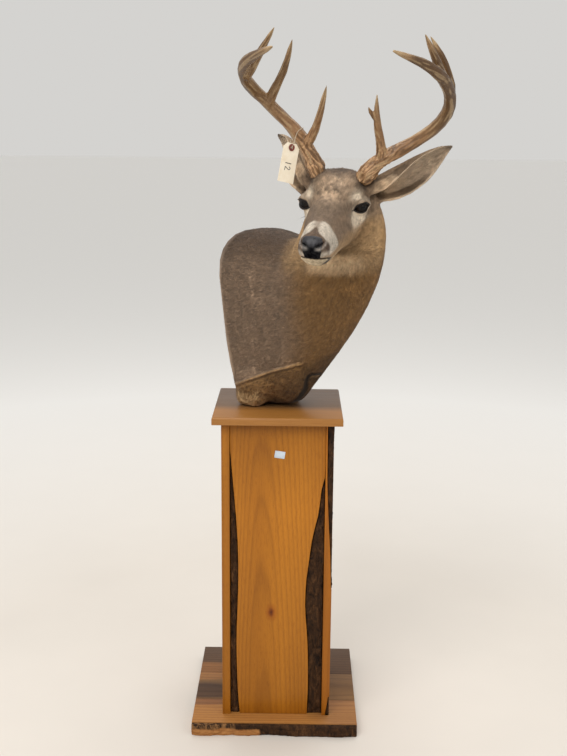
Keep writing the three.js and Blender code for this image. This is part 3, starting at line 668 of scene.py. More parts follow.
@dataclass(frozen=True)
class AntlerFinish:
    """Antler: brown grooves and pearls over bone, rubbed smooth and pale towards the points."""

    def material(self) -> bpy.types.Material:
        """Builds the material."""
        s = Shader("antler bone", 0.36, 0.34)
        fine = s.noise(s.place, 520.0, 5.0, 0.65)
        broad = s.noise(s.place, 60.0, 4.0)
        pits = s.noise(s.place, 1500.0, 3.0, 0.7)
        colour = s.tinted(s.painted(), fine, [(0.3, (0.74, 0.70, 0.64)), (0.62, 1.0)])
        colour = s.tinted(colour, broad, [(0.35, (0.86, 0.83, 0.78)), (0.65, (1.06, 1.04, 1.0))])
        s.bump(fine, 0.35, 0.6)
        s.bump(pits, 0.12, 0.6)
        return s.finish(colour, s.between(fine, 0.26, 0.5))


class Grained(Enum):
    """Axis that a board's grain follows."""

    ALONG_X = "x"
    UPRIGHT = "z"


@dataclass(frozen=True)
class WoodFinish:
    """Varnished board: figure, pores and a clear coat.

    Attributes:
        name: the material's name.
        light: early wood.
        dark: late wood and pores.
        grain: the axis that the figure follows.
        heart: where the growth rings' middle stands off the board, in metres.
        rings: growth rings in a metre.
        contrast: how dark the late wood is, 0 to 1.
        coat: weight of the varnish.
        roughness: middle roughness of the wood.
        front: colour of the board's front strip, if it has one.
        front_from: how far back the strip ends, along Y in metres.
        front_to: where it has its full colour.
        knot: place of a small knot, if there is one.
        shade: heights, and how much painted sheen and shade brighten or darken the board there.
        patches: middle, half-sizes and tint of each patch of another tone.
    """

    name: str
    light: Colour
    dark: Colour
    grain: Grained = Grained.UPRIGHT
    heart: tuple[float, float, float] = (0.0, 0.0, 0.0)
    rings: float = 70.0
    contrast: float = 0.5
    coat: float = 0.05
    roughness: float = 0.42
    front: Colour | None = None
    front_from: float = 0.0
    front_to: float = 0.0
    knot: tuple[float, float, float] | None = None
    shade: tuple[tuple[float, float], ...] = ()
    patches: tuple[tuple[tuple, tuple, tuple], ...] = ()

    def material(self) -> bpy.types.Material:
        """Builds the material."""
        s = Shader(self.name, self.roughness, 0.26)
        s.body.inputs["Coat Weight"].default_value = self.coat
        s.body.inputs["Coat Roughness"].default_value = 0.22
        stretch = (0.07, 1.0, 1.0) if self.grain is Grained.ALONG_X else (1.0, 1.0, 0.07)
        along = s.mapped(stretch, shift=tuple(-c * k for c, k in zip(self.heart, stretch)))
        sway = s.noise(along, 9.0, 3.0)
        wave = self.growth_rings(s, along)
        pores, fibre = (s.noise(s.mapped(tuple(fine * k for k in stretch)), 1.0, detail, 0.6)
                        for fine, detail in ((900.0, 3.0), (260.0, 4.0)))
        tone = s.noise(s.mapped(tuple(k * 3.0 for k in stretch)), 2.2, 3.0)
        colour = self.figured(s, wave, fibre)
        colour = s.tinted(colour, pores, [(0.33, (0.62, 0.52, 0.42)), (0.47, 1.0)], 0.55)
        colour = s.tinted(colour, tone, [(0.3, (0.78, 0.72, 0.62)), (0.7, (1.12, 1.10, 1.05))])
        late = tuple(1 - part * self.contrast for part in (0.5, 0.62, 0.7))
        colour = s.tinted(colour, wave, [(0.60, 1.0), (0.88, late), (1.0, 1.0)])
        # Painted sheen and shade, by height.
        if self.shade:
            colour = s.tinted(colour, s.axis(2), list(self.shade))
        waver = s.math("SUBTRACT", sway, 0.5)
        for middle, reach, tint in self.patches:
            near = s.mapped(tuple(1 / r for r in reach), shift=tuple(-m / r for m, r in zip(middle, reach)))
            apart = s.math("ADD", s.length_of(near), s.math("MULTIPLY", waver, 0.5))
            colour = s.mix(colour, tint, s.grey(apart, 1.15, 0.75), "MULTIPLY")
        if self.knot:
            colour = self.with_knot(s, colour)
        if self.front:
            edge = s.math("ADD", s.axis(1), s.math("MULTIPLY", waver, 0.012))
            colour = s.mix(colour, self.front, s.grey(edge, self.front_from, self.front_to))
            colour = s.tinted(colour, fibre, [(0.3, (0.8, 0.74, 0.66)), (0.65, 1.0)], 0.7)
        s.bump(pores, 0.12, 0.5)
        s.bump(s.noise(s.place, 1100.0, 2.0), 0.04, 0.4)
        return s.finish(colour, s.between(fibre, self.roughness - 0.08, self.roughness + 0.14))

    def growth_rings(self, s: Shader, along: bpy.types.NodeSocket) -> bpy.types.NodeSocket:
        """Uneven rings round the heart, stretched along the grain."""
        bent = s.node("ShaderNodeVectorMath", {"operation": "ADD"})
        s.put(bent.inputs[0], along)
        pushed = s.node("ShaderNodeVectorMath", {"operation": "SCALE"}, Scale=0.035)
        s.put(pushed.inputs[0], s.node("ShaderNodeTexNoise", Vector=along, Scale=7.0, Detail=2.0).outputs[1])
        s.put(bent.inputs[1], pushed.outputs[0])
        rings = {"wave_type": "RINGS", "rings_direction": "SPHERICAL", "wave_profile": "SAW"}
        return s.node("ShaderNodeTexWave", rings, Vector=bent.outputs[0], Scale=self.rings / 20.0 * 3.14,
                      Distortion=1.2, Detail=3.0, Detail_Scale=1.4).outputs[1]

    def figured(self, s: Shader, wave: bpy.types.NodeSocket,
                fibre: bpy.types.NodeSocket) -> bpy.types.NodeSocket:
        """Early and late wood by the growth rings and fibres."""
        figure = s.math("ADD", s.math("MULTIPLY", wave, 0.62), s.math("MULTIPLY", fibre, 0.55))
        lean = 1.0 - self.contrast
        middle = tuple(lean * a + (1 - lean) * b for a, b in zip(self.light, self.dark))
        soft = tuple(0.9 * c for c in self.light)
        return s.ramp(figure, [(0.18, middle), (0.42, self.light), (0.78, soft), (1.0, middle)])

    def with_knot(self, s: Shader, colour: bpy.types.NodeSocket) -> bpy.types.NodeSocket:
        """Adds a small dark knot with its ring of bent grain."""
        offset = s.node("ShaderNodeVectorMath", {"operation": "SUBTRACT"})
        s.put(offset.inputs[0], s.place)
        offset.inputs[1].default_value = self.knot
        flat = s.node("ShaderNodeVectorMath", {"operation": "MULTIPLY"})
        s.put(flat.inputs[0], offset.outputs[0])
        flat.inputs[1].default_value = (1.0, 0.2, 0.62)
        wobble = s.math("MULTIPLY", s.noise(s.place, 160.0, 2.0), 0.003)
        apart = s.math("ADD", s.length_of(flat.outputs[0]), wobble)
        rings = [(0.1, (0.25, 0.14, 0.06)), (0.32, (0.55, 0.36, 0.2)), (0.5, (0.85, 0.72, 0.55)), (0.9, 1.0)]
        return s.tinted(colour, s.grey(apart, 0.0, 0.02), rings)


@dataclass(frozen=True)
class BarkFinish:
    """Dark bark left on the boards' natural edges.

    Attributes:
        name: the material's name.
        deep: colour in the cracks, darkened as painted shade.
        crest: colour of the plates.
        lit: colour of the plates' highest parts.
        bare: colour of the wood where the bark is torn off, if it is.
    """

    name: str = "bark"
    deep: Colour = (0.006, 0.003, 0.002)
    crest: Colour = (0.060, 0.027, 0.010)
    lit: Colour = (0.150, 0.072, 0.028)
    bare: Colour | None = None

    def material(self) -> bpy.types.Material:
        """Builds the material."""
        s = Shader(self.name, 0.75, 0.15)
        long = s.mapped((1.0, 1.0, 0.35))
        plates = s.noise(long, 95.0, 6.0, 0.65, 0.8)
        fine = s.noise(s.mapped((1, 1, 0.5)), 480.0, 5.0, 0.7)
        patch = s.noise(s.place, 14.0, 3.0)
        # The ramp paints shade into the cracks and lights the highest plates as a painted highlight; the fine
        # tint darkens its low parts as painted shade.
        colour = s.ramp(plates, [(0.32, self.deep), (0.55, self.crest), (0.78, self.lit)])
        colour = s.tinted(colour, fine, [(0.3, 0.45), (0.65, 1.15)])
        colour = s.tinted(colour, patch, [(0.35, (0.7, 0.66, 0.62)), (0.65, (1.15, 1.1, 1.05))])
        if self.bare:
            colour = self.torn(s, colour, plates)
        s.bump(plates, 3.2, 1.0)
        s.bump(fine, 0.6, 0.8)
        return s.finish(colour, s.between(fine, 0.5, 0.85))

    def torn(self, s: Shader, colour: bpy.types.NodeSocket,
             plates: bpy.types.NodeSocket) -> bpy.types.NodeSocket:
        """Bares the wood along the lower left, with torn fibres above it."""
        place = [s.axis(i) for i in range(3)]
        sway = s.math("MULTIPLY", s.math("SUBTRACT", s.noise(s.place, 45.0, 3.0), 0.5), 0.016)
        left = s.grey(s.math("ADD", place[0], s.math("MULTIPLY", sway, 2.0)), -0.030, -0.040)
        low = s.grey(s.math("ADD", place[2], sway), 0.020, 0.015)
        streak = s.noise(s.mapped((0.12, 1.0, 1.0)), 260.0, 4.0)
        wood = s.tinted(self.bare, streak, [(0.3, (0.6, 0.5, 0.4)), (0.6, 1.0)])
        shreds = s.ramp(plates, [(0.45, (0.030, 0.015, 0.008)), (0.60, (0.24, 0.12, 0.045))])
        far = s.grey(place[0], -0.085, -0.110)
        colour = s.mix(colour, shreds, s.math("MULTIPLY", left, far))
        return s.mix(colour, wood, s.math("MULTIPLY", left, low))


@dataclass(frozen=True)
class PaperFinish:
    """Card or sticker paper with faint fibres and handling marks."""

    name: str
    colour: Colour
    soil: Colour
    roughness: float = 0.7

    def material(self) -> bpy.types.Material:
        """Builds the material."""
        s = Shader(self.name, self.roughness, 0.35)
        fibre = s.noise(s.place, 1500.0, 4.0, 0.7)
        soil = s.noise(s.place, 55.0, 4.0)
        colour = s.ramp(soil, [(0.3, self.soil), (0.6, self.colour)])
        colour = s.tinted(colour, fibre, [(0.3, 0.93), (0.6, 1.0)])
        s.bump(fibre, 0.05, 0.5)
        return s.finish(colour)


@dataclass(frozen=True)
class TwineFinish:
    """Soft cotton twine: two strands' slanting lie and loose fibres."""

    colour: Colour = (0.62, 0.55, 0.44)

    def material(self) -> bpy.types.Material:
        """Builds the material."""
        s = Shader("cotton twine", 0.9, 0.2)
        s.body.inputs["Sheen Weight"].default_value = 0.2
        bands = {"wave_type": "BANDS", "bands_direction": "DIAGONAL"}
        lay = s.node("ShaderNodeTexWave", bands, Vector=s.place, Scale=260.0, Distortion=1.5,
                     Detail=2.0).outputs[1]
        fuzz = s.noise(s.place, 2500.0, 4.0, 0.7)
        # Painted shade in the grooves between the strands.
        colour = s.tinted(self.colour, lay, [(0.1, (0.62, 0.58, 0.5)), (0.6, 1.0)])
        s.bump(lay, 0.2, 0.7)
        s.bump(fuzz, 0.1, 0.6)
        return s.finish(colour)


# ---------------------------------------------------------------------- markings
def fold_gap(points: np.ndarray) -> np.ndarray:
    """Height of body-frame rows above the foreleg's fold, in millimetres."""
    ahead, left, height = points.T
    out = np.abs(left)
    line = np.interp(ahead - out, [-74, -9, 41, 92, 126, 160], [826, 842, 855, 863.5, 870, 875])
    return height - SEAM_CLIMB * (ahead + out) - line


def crease(points: np.ndarray) -> np.ndarray:
    """How near points lie to the crease in front of the foreleg, which is painted dark as shadow.

    Args:
        points: rows in the body's frame.

    Returns:
        One weight from 0 to 1 for each row.
    """
    ahead, left, height = points.T
    reach = ahead + left
    rise = height - SEAM_CLIMB * (ahead - left)
    place = np.stack([reach, rise], 1)
    path = np.array([(108, 774), (130, 787), (147, 803), (154, 812), (157, 820), (157, 832), (162, 843),
                     (174, 848), (204, 850)], float)
    width = [6.0, 7.5, 8.5, 9.0, 9.0, 7.0, 5.0, 4.0, 3.5]
    weight = np.zeros(len(points))
    for start, span, first, last in zip(path[:-1], np.diff(path, axis=0), width[:-1], width[1:]):
        part = np.clip((place - start) @ span / (span @ span), 0.0, 1.0)
        apart = np.linalg.norm(place - start - part[:, None] * span, axis=1)
        weight = np.maximum(weight, hill(apart, 0.0, first + part * (last - first)))
    return weight * ramp(left, -72, -58) * ramp(left, 44, 26) * ramp(height, 915, 905)


def seams(points: np.ndarray) -> tuple[np.ndarray, np.ndarray]:
    """How near body-frame points lie to the foreleg's fold and to the crease in front of it, from 0 to 1."""
    ahead, left, _ = points.T
    out = np.abs(left)
    fold = hill(fold_gap(points), 0.0, 7.0) * ramp(ahead, 0, 16) * ramp(ahead - out, 150, 134)
    return fold * ramp(out, 18, 34), crease(points)


def brisket_line(ahead: np.ndarray) -> np.ndarray:
    """Height of the dip between stump and brisket, in millimetres."""
    return 801.0 + 0.91 * (ahead - 78.0)


def capped(weight: np.ndarray, gain: float, most: float = 1.0) -> np.ndarray:
    """A weight made stronger, but no more than most."""
    return np.minimum(weight * gain, most)


@dataclass(frozen=True)
class Markings:
    """The coat's colours, and where each lies on head and body."""

    grey_brown: Colour = (0.298, 0.201, 0.131)
    withers: Colour = (0.078, 0.044, 0.025)
    neck: Colour = (0.313, 0.167, 0.057)
    nape: Colour = (0.236, 0.141, 0.077)
    leg_tan: Colour = (0.246, 0.129, 0.041)
    under_white: Colour = (0.638, 0.436, 0.224)
    # armpit_shadow is painted shadow for the dip and the crease in front of the foreleg.
    armpit_shadow: Colour = (0.030, 0.018, 0.010)
    brisket: Colour = (0.122, 0.071, 0.032)
    face: Colour = (0.226, 0.153, 0.097)
    bridge: Colour = (0.182, 0.127, 0.086)
    forehead: Colour = (0.705, 0.515, 0.349)
    crown: Colour = (0.132, 0.086, 0.055)
    cheek: Colour = (0.473, 0.298, 0.143)
    cream: Colour = (0.858, 0.724, 0.562)
    white: Colour = (0.558, 0.491, 0.406)
    brown_wedge: Colour = (0.110, 0.070, 0.045)
    chin: Colour = (0.608, 0.493, 0.333)
    black: Colour = (0.018, 0.014, 0.013)
    throat: Colour = (0.862, 0.618, 0.381)
    # nose is the top of the nose with its painted highlight; bare_nose darkens it below as painted shade.
    nose: Colour = (0.021, 0.020, 0.025)
    nostril_rim: Colour = (0.330, 0.285, 0.250)
    ear_back: Colour = (0.371, 0.251, 0.149)
    ear_inner: Colour = (0.722, 0.558, 0.405)
    ear_edge: Colour = (0.075, 0.052, 0.036)
    ear_root: Colour = (0.748, 0.544, 0.356)

    def at(self, points: np.ndarray, normals: np.ndarray) -> np.ndarray:
        """Colour of skin and hair.

        Args:
            points: rows in the row frame.
            normals: which way the surface faces there.

        Returns:
            One linear colour for each row.
        """
        wobble = self.wobbled(points)
        colour = self.lines(self.body(wobble), BODY.local(points))
        head = HEAD.local(wobble)
        colour = mix(colour, self.head(head), head_share(head))
        colour = mix(colour, self.ears(wobble, normals), ear_share(points)[0])
        return colour * self.ticking(points)[:, None]

    def wobbled(self, points: np.ndarray) -> np.ndarray:
        """Points pushed about a little, so that no marking has a ruled edge."""
        coarse = np.stack([Grain(SEED + i).at(points, 0.011) for i in range(3)], 1)
        fine = np.stack([Grain(SEED + 10 + i).at(points, 0.0035) for i in range(3)], 1)
        shift = coarse * 0.6 + fine * 0.4
        return points + shift * 4.0 * MM * (0.35 + 0.65 * ramp(HEAD.local(points)[:, 0], 120, 40))[:, None]

    def ticking(self, points: np.ndarray) -> np.ndarray:
        """Light and dark clusters of hair tips, stronger on the body than on the face."""
        body = 1.0 - ramp(HEAD.local(points)[:, 0], -120, -60)
        fine = Grain(SEED + 20).at(points, (0.0030, 0.0030, 0.0060))
        ripple = Grain(SEED + 23).at(points, (0.0065, 0.0065, 0.0120))
        broad = Grain(SEED + 21).at(points, 0.016)
        even = 1.0 - 0.65 * ear_share(points)[0]
        return 1.0 + even * ((0.34 + 0.62 * body) * fine + (0.12 + 0.48 * body) * ripple + 0.10 * broad)

    def body(self, points: np.ndarray) -> np.ndarray:
        """Trunk, neck and foreleg stumps."""
        local = BODY.local(points)
        ahead, left, height = local.T
        out = np.abs(left + 2)
        colour = np.tile(np.array(self.grey_brown), (len(points), 1))
        colour = mix(colour, np.array(self.grey_brown) * 1.18, ramp(height, 1060, 880) * 0.8)
        colour = mix(colour, self.withers, ramp(height, 1110, 1200) * 0.8)
        heights = [900, 976, 1052, 1134, 1177, 1230, 1300]
        edge = np.interp(height, heights, [164, 194, 192, 192, 168, 170, 190])
        front = ramp(ahead + 0.35 * np.minimum(85 - out, 0), edge - 34, edge + 40) * ramp(height, 1500, 1230)
        colour = mix(colour, self.neck, front * 0.95)
        colour = mix(colour, self.nape, ramp(ahead, 250, 205) * ramp(height, 1200, 1250) * 0.8)
        breast = hill(left, 0, 45) * ramp(ahead, 270, 310) * ramp(height, 1000, 1100)
        colour = mix(colour, np.array(self.neck) * 1.15, breast * 0.5)
        leg = ramp(fold_gap(local), 5, -7) * ramp(ahead, 212, 196)
        colour = mix(colour, self.leg_tan, leg * 0.9)
        white = ramp(height, 838, 818) * ramp(out, 35, 60) * ramp(ahead, 105, 75)
        colour = mix(colour, self.under_white, white * 0.9)
        dip = brisket_line(ahead)
        return mix(colour, self.brisket, ramp(height, dip + 8, dip - 10) * ramp(ahead, 74, 92) * 0.62)

    def lines(self, colour: np.ndarray, local: np.ndarray) -> np.ndarray:
        """Draws the stumps' fold, with a painted highlight along its ridge and painted shade under it, and
        painted shadow in the dip and the crease, which keep a sharp edge.

        Args:
            colour: the body's colours so far.
            local: rows in the body's frame.

        Returns:
            The new colours.
        """
        ahead, left, height = local.T
        out = np.abs(left)
        fold = fold_gap(local)
        on = ramp(ahead - out, 146, 130) * ramp(ahead, 4, 18) * ramp(out, 14, 30)
        # Painted highlight along the fold's ridge.
        colour = mix(colour, np.array(self.leg_tan) * (1.5, 1.7, 2.1), hill(fold, 0.8, 1.9) * on * 0.62)
        # Painted shade under the fold.
        under = hill(fold, -4.2, 2.2) * on * ramp(ahead, 40, 70)
        colour = mix(colour, np.array(self.leg_tan) * 0.5, under * 0.45)
        # Painted shade in the dip between stump and brisket.
        dip = hill(height, brisket_line(ahead) - 3.0, 5.5) * ramp(ahead, 62, 72) * ramp(ahead, 108, 86)
        colour = mix(colour, self.armpit_shadow, dip * 0.9)
        knob = blob(local, (188, -6, 874), (12, 18, 7), False)
        colour = mix(colour, np.array(self.brisket) * 0.7, knob * 0.8)
        # Painted shadow in the crease in front of the foreleg.
        return mix(colour, np.array(self.armpit_shadow) * 0.5, capped(crease(local), 1.4))

    def head(self, local: np.ndarray) -> np.ndarray:
        """Face, jaw and throat, then the muzzle, the patches round the eyes, the lips and the nose."""
        colour = self.face_and_throat(local)
        for layer in (self.muzzle, self.lips, self.bare_nose):
            colour = layer(colour, local)
        return colour

    def face_and_throat(self, local: np.ndarray) -> np.ndarray:
        """Forehead, cheeks, bridge, crown, chin and throat."""
        ahead, left, up = local.T
        out = np.abs(left)
        colour = np.tile(np.array(self.face), (len(local), 1))
        mottle = np.clip(0.66 + 0.95 * Grain(SEED + 22).at(local, 7.5), 0.0, 1.2)
        colour = mix(colour, self.cheek, ramp(up, -12, -45) * 0.8)
        colour = mix(colour, self.bridge, ramp(ahead, 34, 66) * ramp(up, 8, 22) * 0.85)
        brow = capped(blob(local, (16, 0, 52), (44, 46, 28), False), 1.35)
        colour = mix(colour, self.forehead, brow * mottle)
        colour = mix(colour, self.forehead, blob(local, (2, 24, 55), (22, 17, 20)) * 0.75)
        colour = mix(colour, self.crown, ramp(ahead, -22, -54) * ramp(up, 22, 44) * 0.9)
        colour = mix(colour, self.crown, blob(local, (-24, 0, 58), (16, 20, 14), False) * 0.55)
        colour = mix(colour, np.array(self.crown) * 0.6, blob(local, (-40, 50, 70), (22, 19, 12)) * 0.85)
        colour = mix(colour, np.array(self.face) * 1.12, blob(local, (-38, 80, -18), (26, 20, 24)) * 0.6)
        throat = ramp(up, -106, -124) * ramp(ahead, -62, -12) * ramp(up, -156, -142)
        colour = mix(colour, self.throat, throat * ramp(left, 84, 34) * ramp(left, -62, -36) * 0.9)
        colour = mix(colour, self.chin, ramp(up, -40, -58) * ramp(ahead, 96, 128) * 0.92)
        jaw = ramp(up, -48, -70) * ramp(ahead, 64, 112) * ramp(out, 46, 28)
        return mix(colour, np.array(self.chin) * 0.72, jaw * 0.6)

    def muzzle(self, colour: np.ndarray, local: np.ndarray) -> np.ndarray:
        """The brown wedge and the white band behind the nose, and the cream patches round the eyes."""
        ahead, left, up = local.T
        out = np.abs(left)
        colour = mix(colour, self.brown_wedge, ramp(ahead, 150, 166) * ramp(up, -24, -10) * 0.92)
        colour = mix(colour, self.white, self.muzzle_band(ahead, out, up))
        lip = ramp(ahead, 168, 184) * hill(up, -19, 6.5) * ramp(ahead, 205, 198)
        colour = mix(colour, self.white, lip * 0.9)
        brown = np.array(self.brown_wedge) * (0.55, 0.45, 0.38)
        colour = mix(colour, brown, capped(blob(local, (183, 28, -9), (9, 9, 9)), 1.4, 0.95))
        for middle, radii, gain, most in (((22, 50, -19), (21, 20, 15), 1.5, 1.0),
                                          ((-6, 62, -27), (20, 18, 9), 1.0, 0.8),
                                          ((2, 50, 27), (22, 14, 9), 1.1, 0.85)):
            colour = mix(colour, self.cream, capped(blob(local, middle, radii), gain, most))
        return colour

    def lips(self, colour: np.ndarray, local: np.ndarray) -> np.ndarray:
        """The pale lower lip, its black spots and the dark mouth line."""
        ahead, left, up = local.T
        line = Skin.mouth_height(ahead)
        colour = mix(colour, self.chin, ramp(up, line + 0.5, line - 3) * ramp(ahead, 148, 162))
        shaded = np.array(self.chin) * (0.62, 0.54, 0.44)
        colour = mix(colour, shaded, ramp(up, -44, -56) * ramp(ahead, 150, 170) * 0.7)
        spot = capped(blob(local, (172, 22, -46), (12, 9, 10)), 1.4, 0.95) * ramp(left, 0, 6)
        colour = mix(colour, self.black, spot)
        colour = mix(colour, self.black, blob(local, (176, -2, -62), (7, 5, 5), False) * 0.8)
        return mix(colour, self.black, hill(up, line, 2.0) * ramp(ahead, 120, 150) * 0.9)

    def bare_nose(self, colour: np.ndarray, local: np.ndarray) -> np.ndarray:
        """The black nose, lighter on top as a painted highlight and darker below as painted shade, with its
        greyer rims and painted shade in the nostrils.
        """
        hollow = Skin.nostril(local)
        # Painted highlight on the nose's top and painted shade below it.
        bare = np.array(self.nose) * (0.24 + 0.76 * ramp(local[:, 2], -3, 5))[:, None]
        colour = mix(colour, bare, self.nose_share(local))
        rim = np.zeros(len(local))
        for spot in ((205, 12, -4), (203, 15.5, -5), (200, 19, -4.5), (196, 22, -3), (191, 25, 0),
                     (187, 27, 3)):
            rim = np.maximum(rim, blob(local, spot, (5.0, 3.4, 2.9)))
        colour = mix(colour, self.nostril_rim, capped(rim, 1.2) * (1 - hollow) * 0.8)
        # Painted shade in the nostrils' hollows.
        return mix(colour, np.array(self.nose) * 0.2, capped(hollow, 1.3))

    def muzzle_band(self, ahead: np.ndarray, out: np.ndarray, up: np.ndarray) -> np.ndarray:
        """Weight of the white band that runs over the muzzle behind the nose and down to the lips."""
        inner = np.interp(out, [0, 3, 6, 10, 16, 22, 40], [155, 160, 168, 175, 179, 180, 177])
        outer = np.interp(out, [0, 5, 11, 20, 30, 38, 50], [139, 137, 133, 133, 134, 127, 124])
        band = ramp(ahead, outer - 4, outer + 4) * ramp(ahead, inner + 5, inner - 3)
        return band * ramp(up, -36, -22) * (0.45 + 0.55 * ramp(out, 2, 11))

    def nose_share(self, local: np.ndarray) -> np.ndarray:
        """Weight of the bare black nose."""
        ahead, left, up = local.T
        out = np.abs(left)
        half = np.interp(up, [-31, -22, -10, 0, 6, 12, 20], [14, 16, 18, 18.5, 19, 17.5, 14])
        back = np.interp(up, [-32, -18, -6, 6, 14, 22], [193, 191, 186, 187, 189, 193])
        return ramp(out, half + 2.5, half) * ramp(ahead, back - 2, back + 1) * ramp(up, -31, -28.5)

    def ears(self, points: np.ndarray, normals: np.ndarray) -> np.ndarray:
        """Ears: grey-brown behind, pale within, darker along rim and tip."""
        colour = np.tile(np.array(self.ear_back), (len(points), 1))
        for side, ear in EARS.items():
            share, distance, _ = ear.place(points)
            own = ramp(distance, 66, 56) * ramp(HEAD.local(points)[:, 1] * side, 0, 4)
            facing = (normals @ HEAD.rows.T) @ ear.opening
            inner = ramp(facing, 0.05, 0.35) * own
            shade = np.tile(np.array(self.ear_inner), (len(points), 1))
            shade = mix(shade, self.ear_root, ramp(share, 0.5, 0.2))
            shade = mix(shade, self.ear_edge, ramp(share, 0.86, 0.99) * 0.5)
            colour = mix(colour, shade, inner)
            rim = ramp(np.abs(facing), 0.45, 0.1) * ramp(distance, 22, 32)
            tip = ramp(share, 0.88, 0.98) * (0.75 if side < 0 else 0.6)
            colour = mix(colour, self.ear_edge, own * np.maximum(rim * 0.6, tip))
        return colour


# ---------------------------------------------------------------------- the hide
FLESH = ["head", "muzzle", "lower_jaw", "nose_pad", "neck", "trunk", "foreleg_stump_left",
         "foreleg_stump_right", "ear_left", "ear_right"]


@dataclass(frozen=True)
class Sections:
    """Fan of sections from the flat back to the skull, as back and breast points in the body's frame."""

    back: tuple = ((0, 0, 1211), (42, 0, 1209), (89, 0, 1202), (130, 0, 1197), (162, 0, 1200), (181, 3, 1218),
                   (189, 8, 1246), (192, 13, 1278), (197, 16, 1308), (206, 16, 1328), (222, 12, 1342))
    breast: tuple = ((0, 0, 797), (66, 0, 792), (114, 0, 797), (164, 0, 841), (213, 0, 904), (266, 0, 980),
                     (304, 4, 1062), (322, 10, 1134), (326, 16, 1192), (318, 11, 1238), (304, 5, 1280))
    turns: tuple = (0, 0, 0, 2, 6, 14, 25, 37, 48, 56, 60)

    def place(self, local: np.ndarray) -> tuple[np.ndarray, np.ndarray, np.ndarray]:
        """Where points lie in the fan.

        Args:
            local: rows in the body's frame.

        Returns:
            The section number, the angle round its middle, and the direction towards the skull.
        """
        back, breast = np.array(self.back, float), np.array(self.breast, float)
        turn = np.radians(self.turns)
        across = np.stack([np.sin(turn), np.cos(turn), np.zeros(len(turn))], 1)
        up = unit(back - breast)
        ahead = unit(np.cross(across, up))
        middle = (back + breast) / 2
        signed = ((local[:, None, :] - middle[None]) * ahead[None]).sum(2)
        passed = np.cumprod(signed >= 0, axis=1).sum(1)
        low = np.clip(passed - 1, 0, len(turn) - 2)
        rows = np.arange(len(local))
        first, second = signed[rows, low], signed[rows, low + 1]
        part = np.clip(first / np.maximum(first - second, 1e-6), 0.0, 1.0)
        blend = part[:, None]
        core = middle[low] * (1 - blend) + middle[low + 1] * blend
        offset = local - core
        side = (offset * (across[low] * (1 - blend) + across[low + 1] * blend)).sum(1)
        tall = (offset * (up[low] * (1 - blend) + up[low + 1] * blend)).sum(1)
        return low + part, np.arctan2(side, tall), unit(ahead[low] * (1 - blend) + ahead[low + 1] * blend)


SECTIONS = Sections()


def hair_flow(points: np.ndarray) -> np.ndarray:
    """Direction that hair lies in, before it is laid on the skin.

    Args:
        points: rows in the row frame.

    Returns:
        Unit rows.
    """
    number, _, forward = SECTIONS.place(BODY.local(points))
    body = -(forward @ BODY.rows)
    body[:, 2] -= 0.30 * ramp(number, 5.0, 2.0)
    height = points[:, 2] / MM
    legs = ramp(height, 880, 840)[:, None]
    body = unit(body) * (1 - 0.7 * legs) + np.array([0.0, 0.0, -0.7]) * legs
    place = BODY.local(points)
    for near, slope in zip(seams(place), (0.40, 1.05)):
        along = BODY.turned(np.array([[-1.0, 0.0, -slope]]) / math.hypot(1.0, slope))
        body = unit(body * (1 - near[:, None]) + along * near[:, None])
    local = HEAD.local(points)
    rise = -0.22 * ramp(local[:, 2], 24, -20) + 0.12 * ramp(local[:, 2], 20, 48)
    face = np.stack([-np.ones(len(points)), 0.16 * np.tanh(local[:, 1] / 14), rise], 1)
    near_skull = head_share(local)[:, None] * ramp(local[:, 2], -140, -95)[:, None]
    flow = unit(unit(body) * (1 - near_skull) + HEAD.turned(unit(face)) * near_skull)
    weight, _ = ear_share(points)
    for side, ear in EARS.items():
        _, distance, _ = ear.place(points)
        own = (weight * (local[:, 1] * side > 0) * ramp(distance, 66, 56))[:, None]
        axis = HEAD.turned(unit(np.array([ear.line[-1] - ear.line[0]])))[0]
        flow = flow * (1 - own) + axis * own
    return unit(flow)


def fur_depth(points: np.ndarray) -> np.ndarray:
    """How deep the coat stands on the skin, in millimetres."""
    local = HEAD.local(points)
    depth = np.full(len(points), 2.4)
    face = head_share(local)
    depth += (1.0 - depth) * face
    depth += (0.7 - depth) * face * ramp(local[:, 0], 90, 150)
    weight, _ = ear_share(points)
    depth += (0.9 - depth) * weight
    return depth + (0.1 - depth) * Markings().nose_share(local)


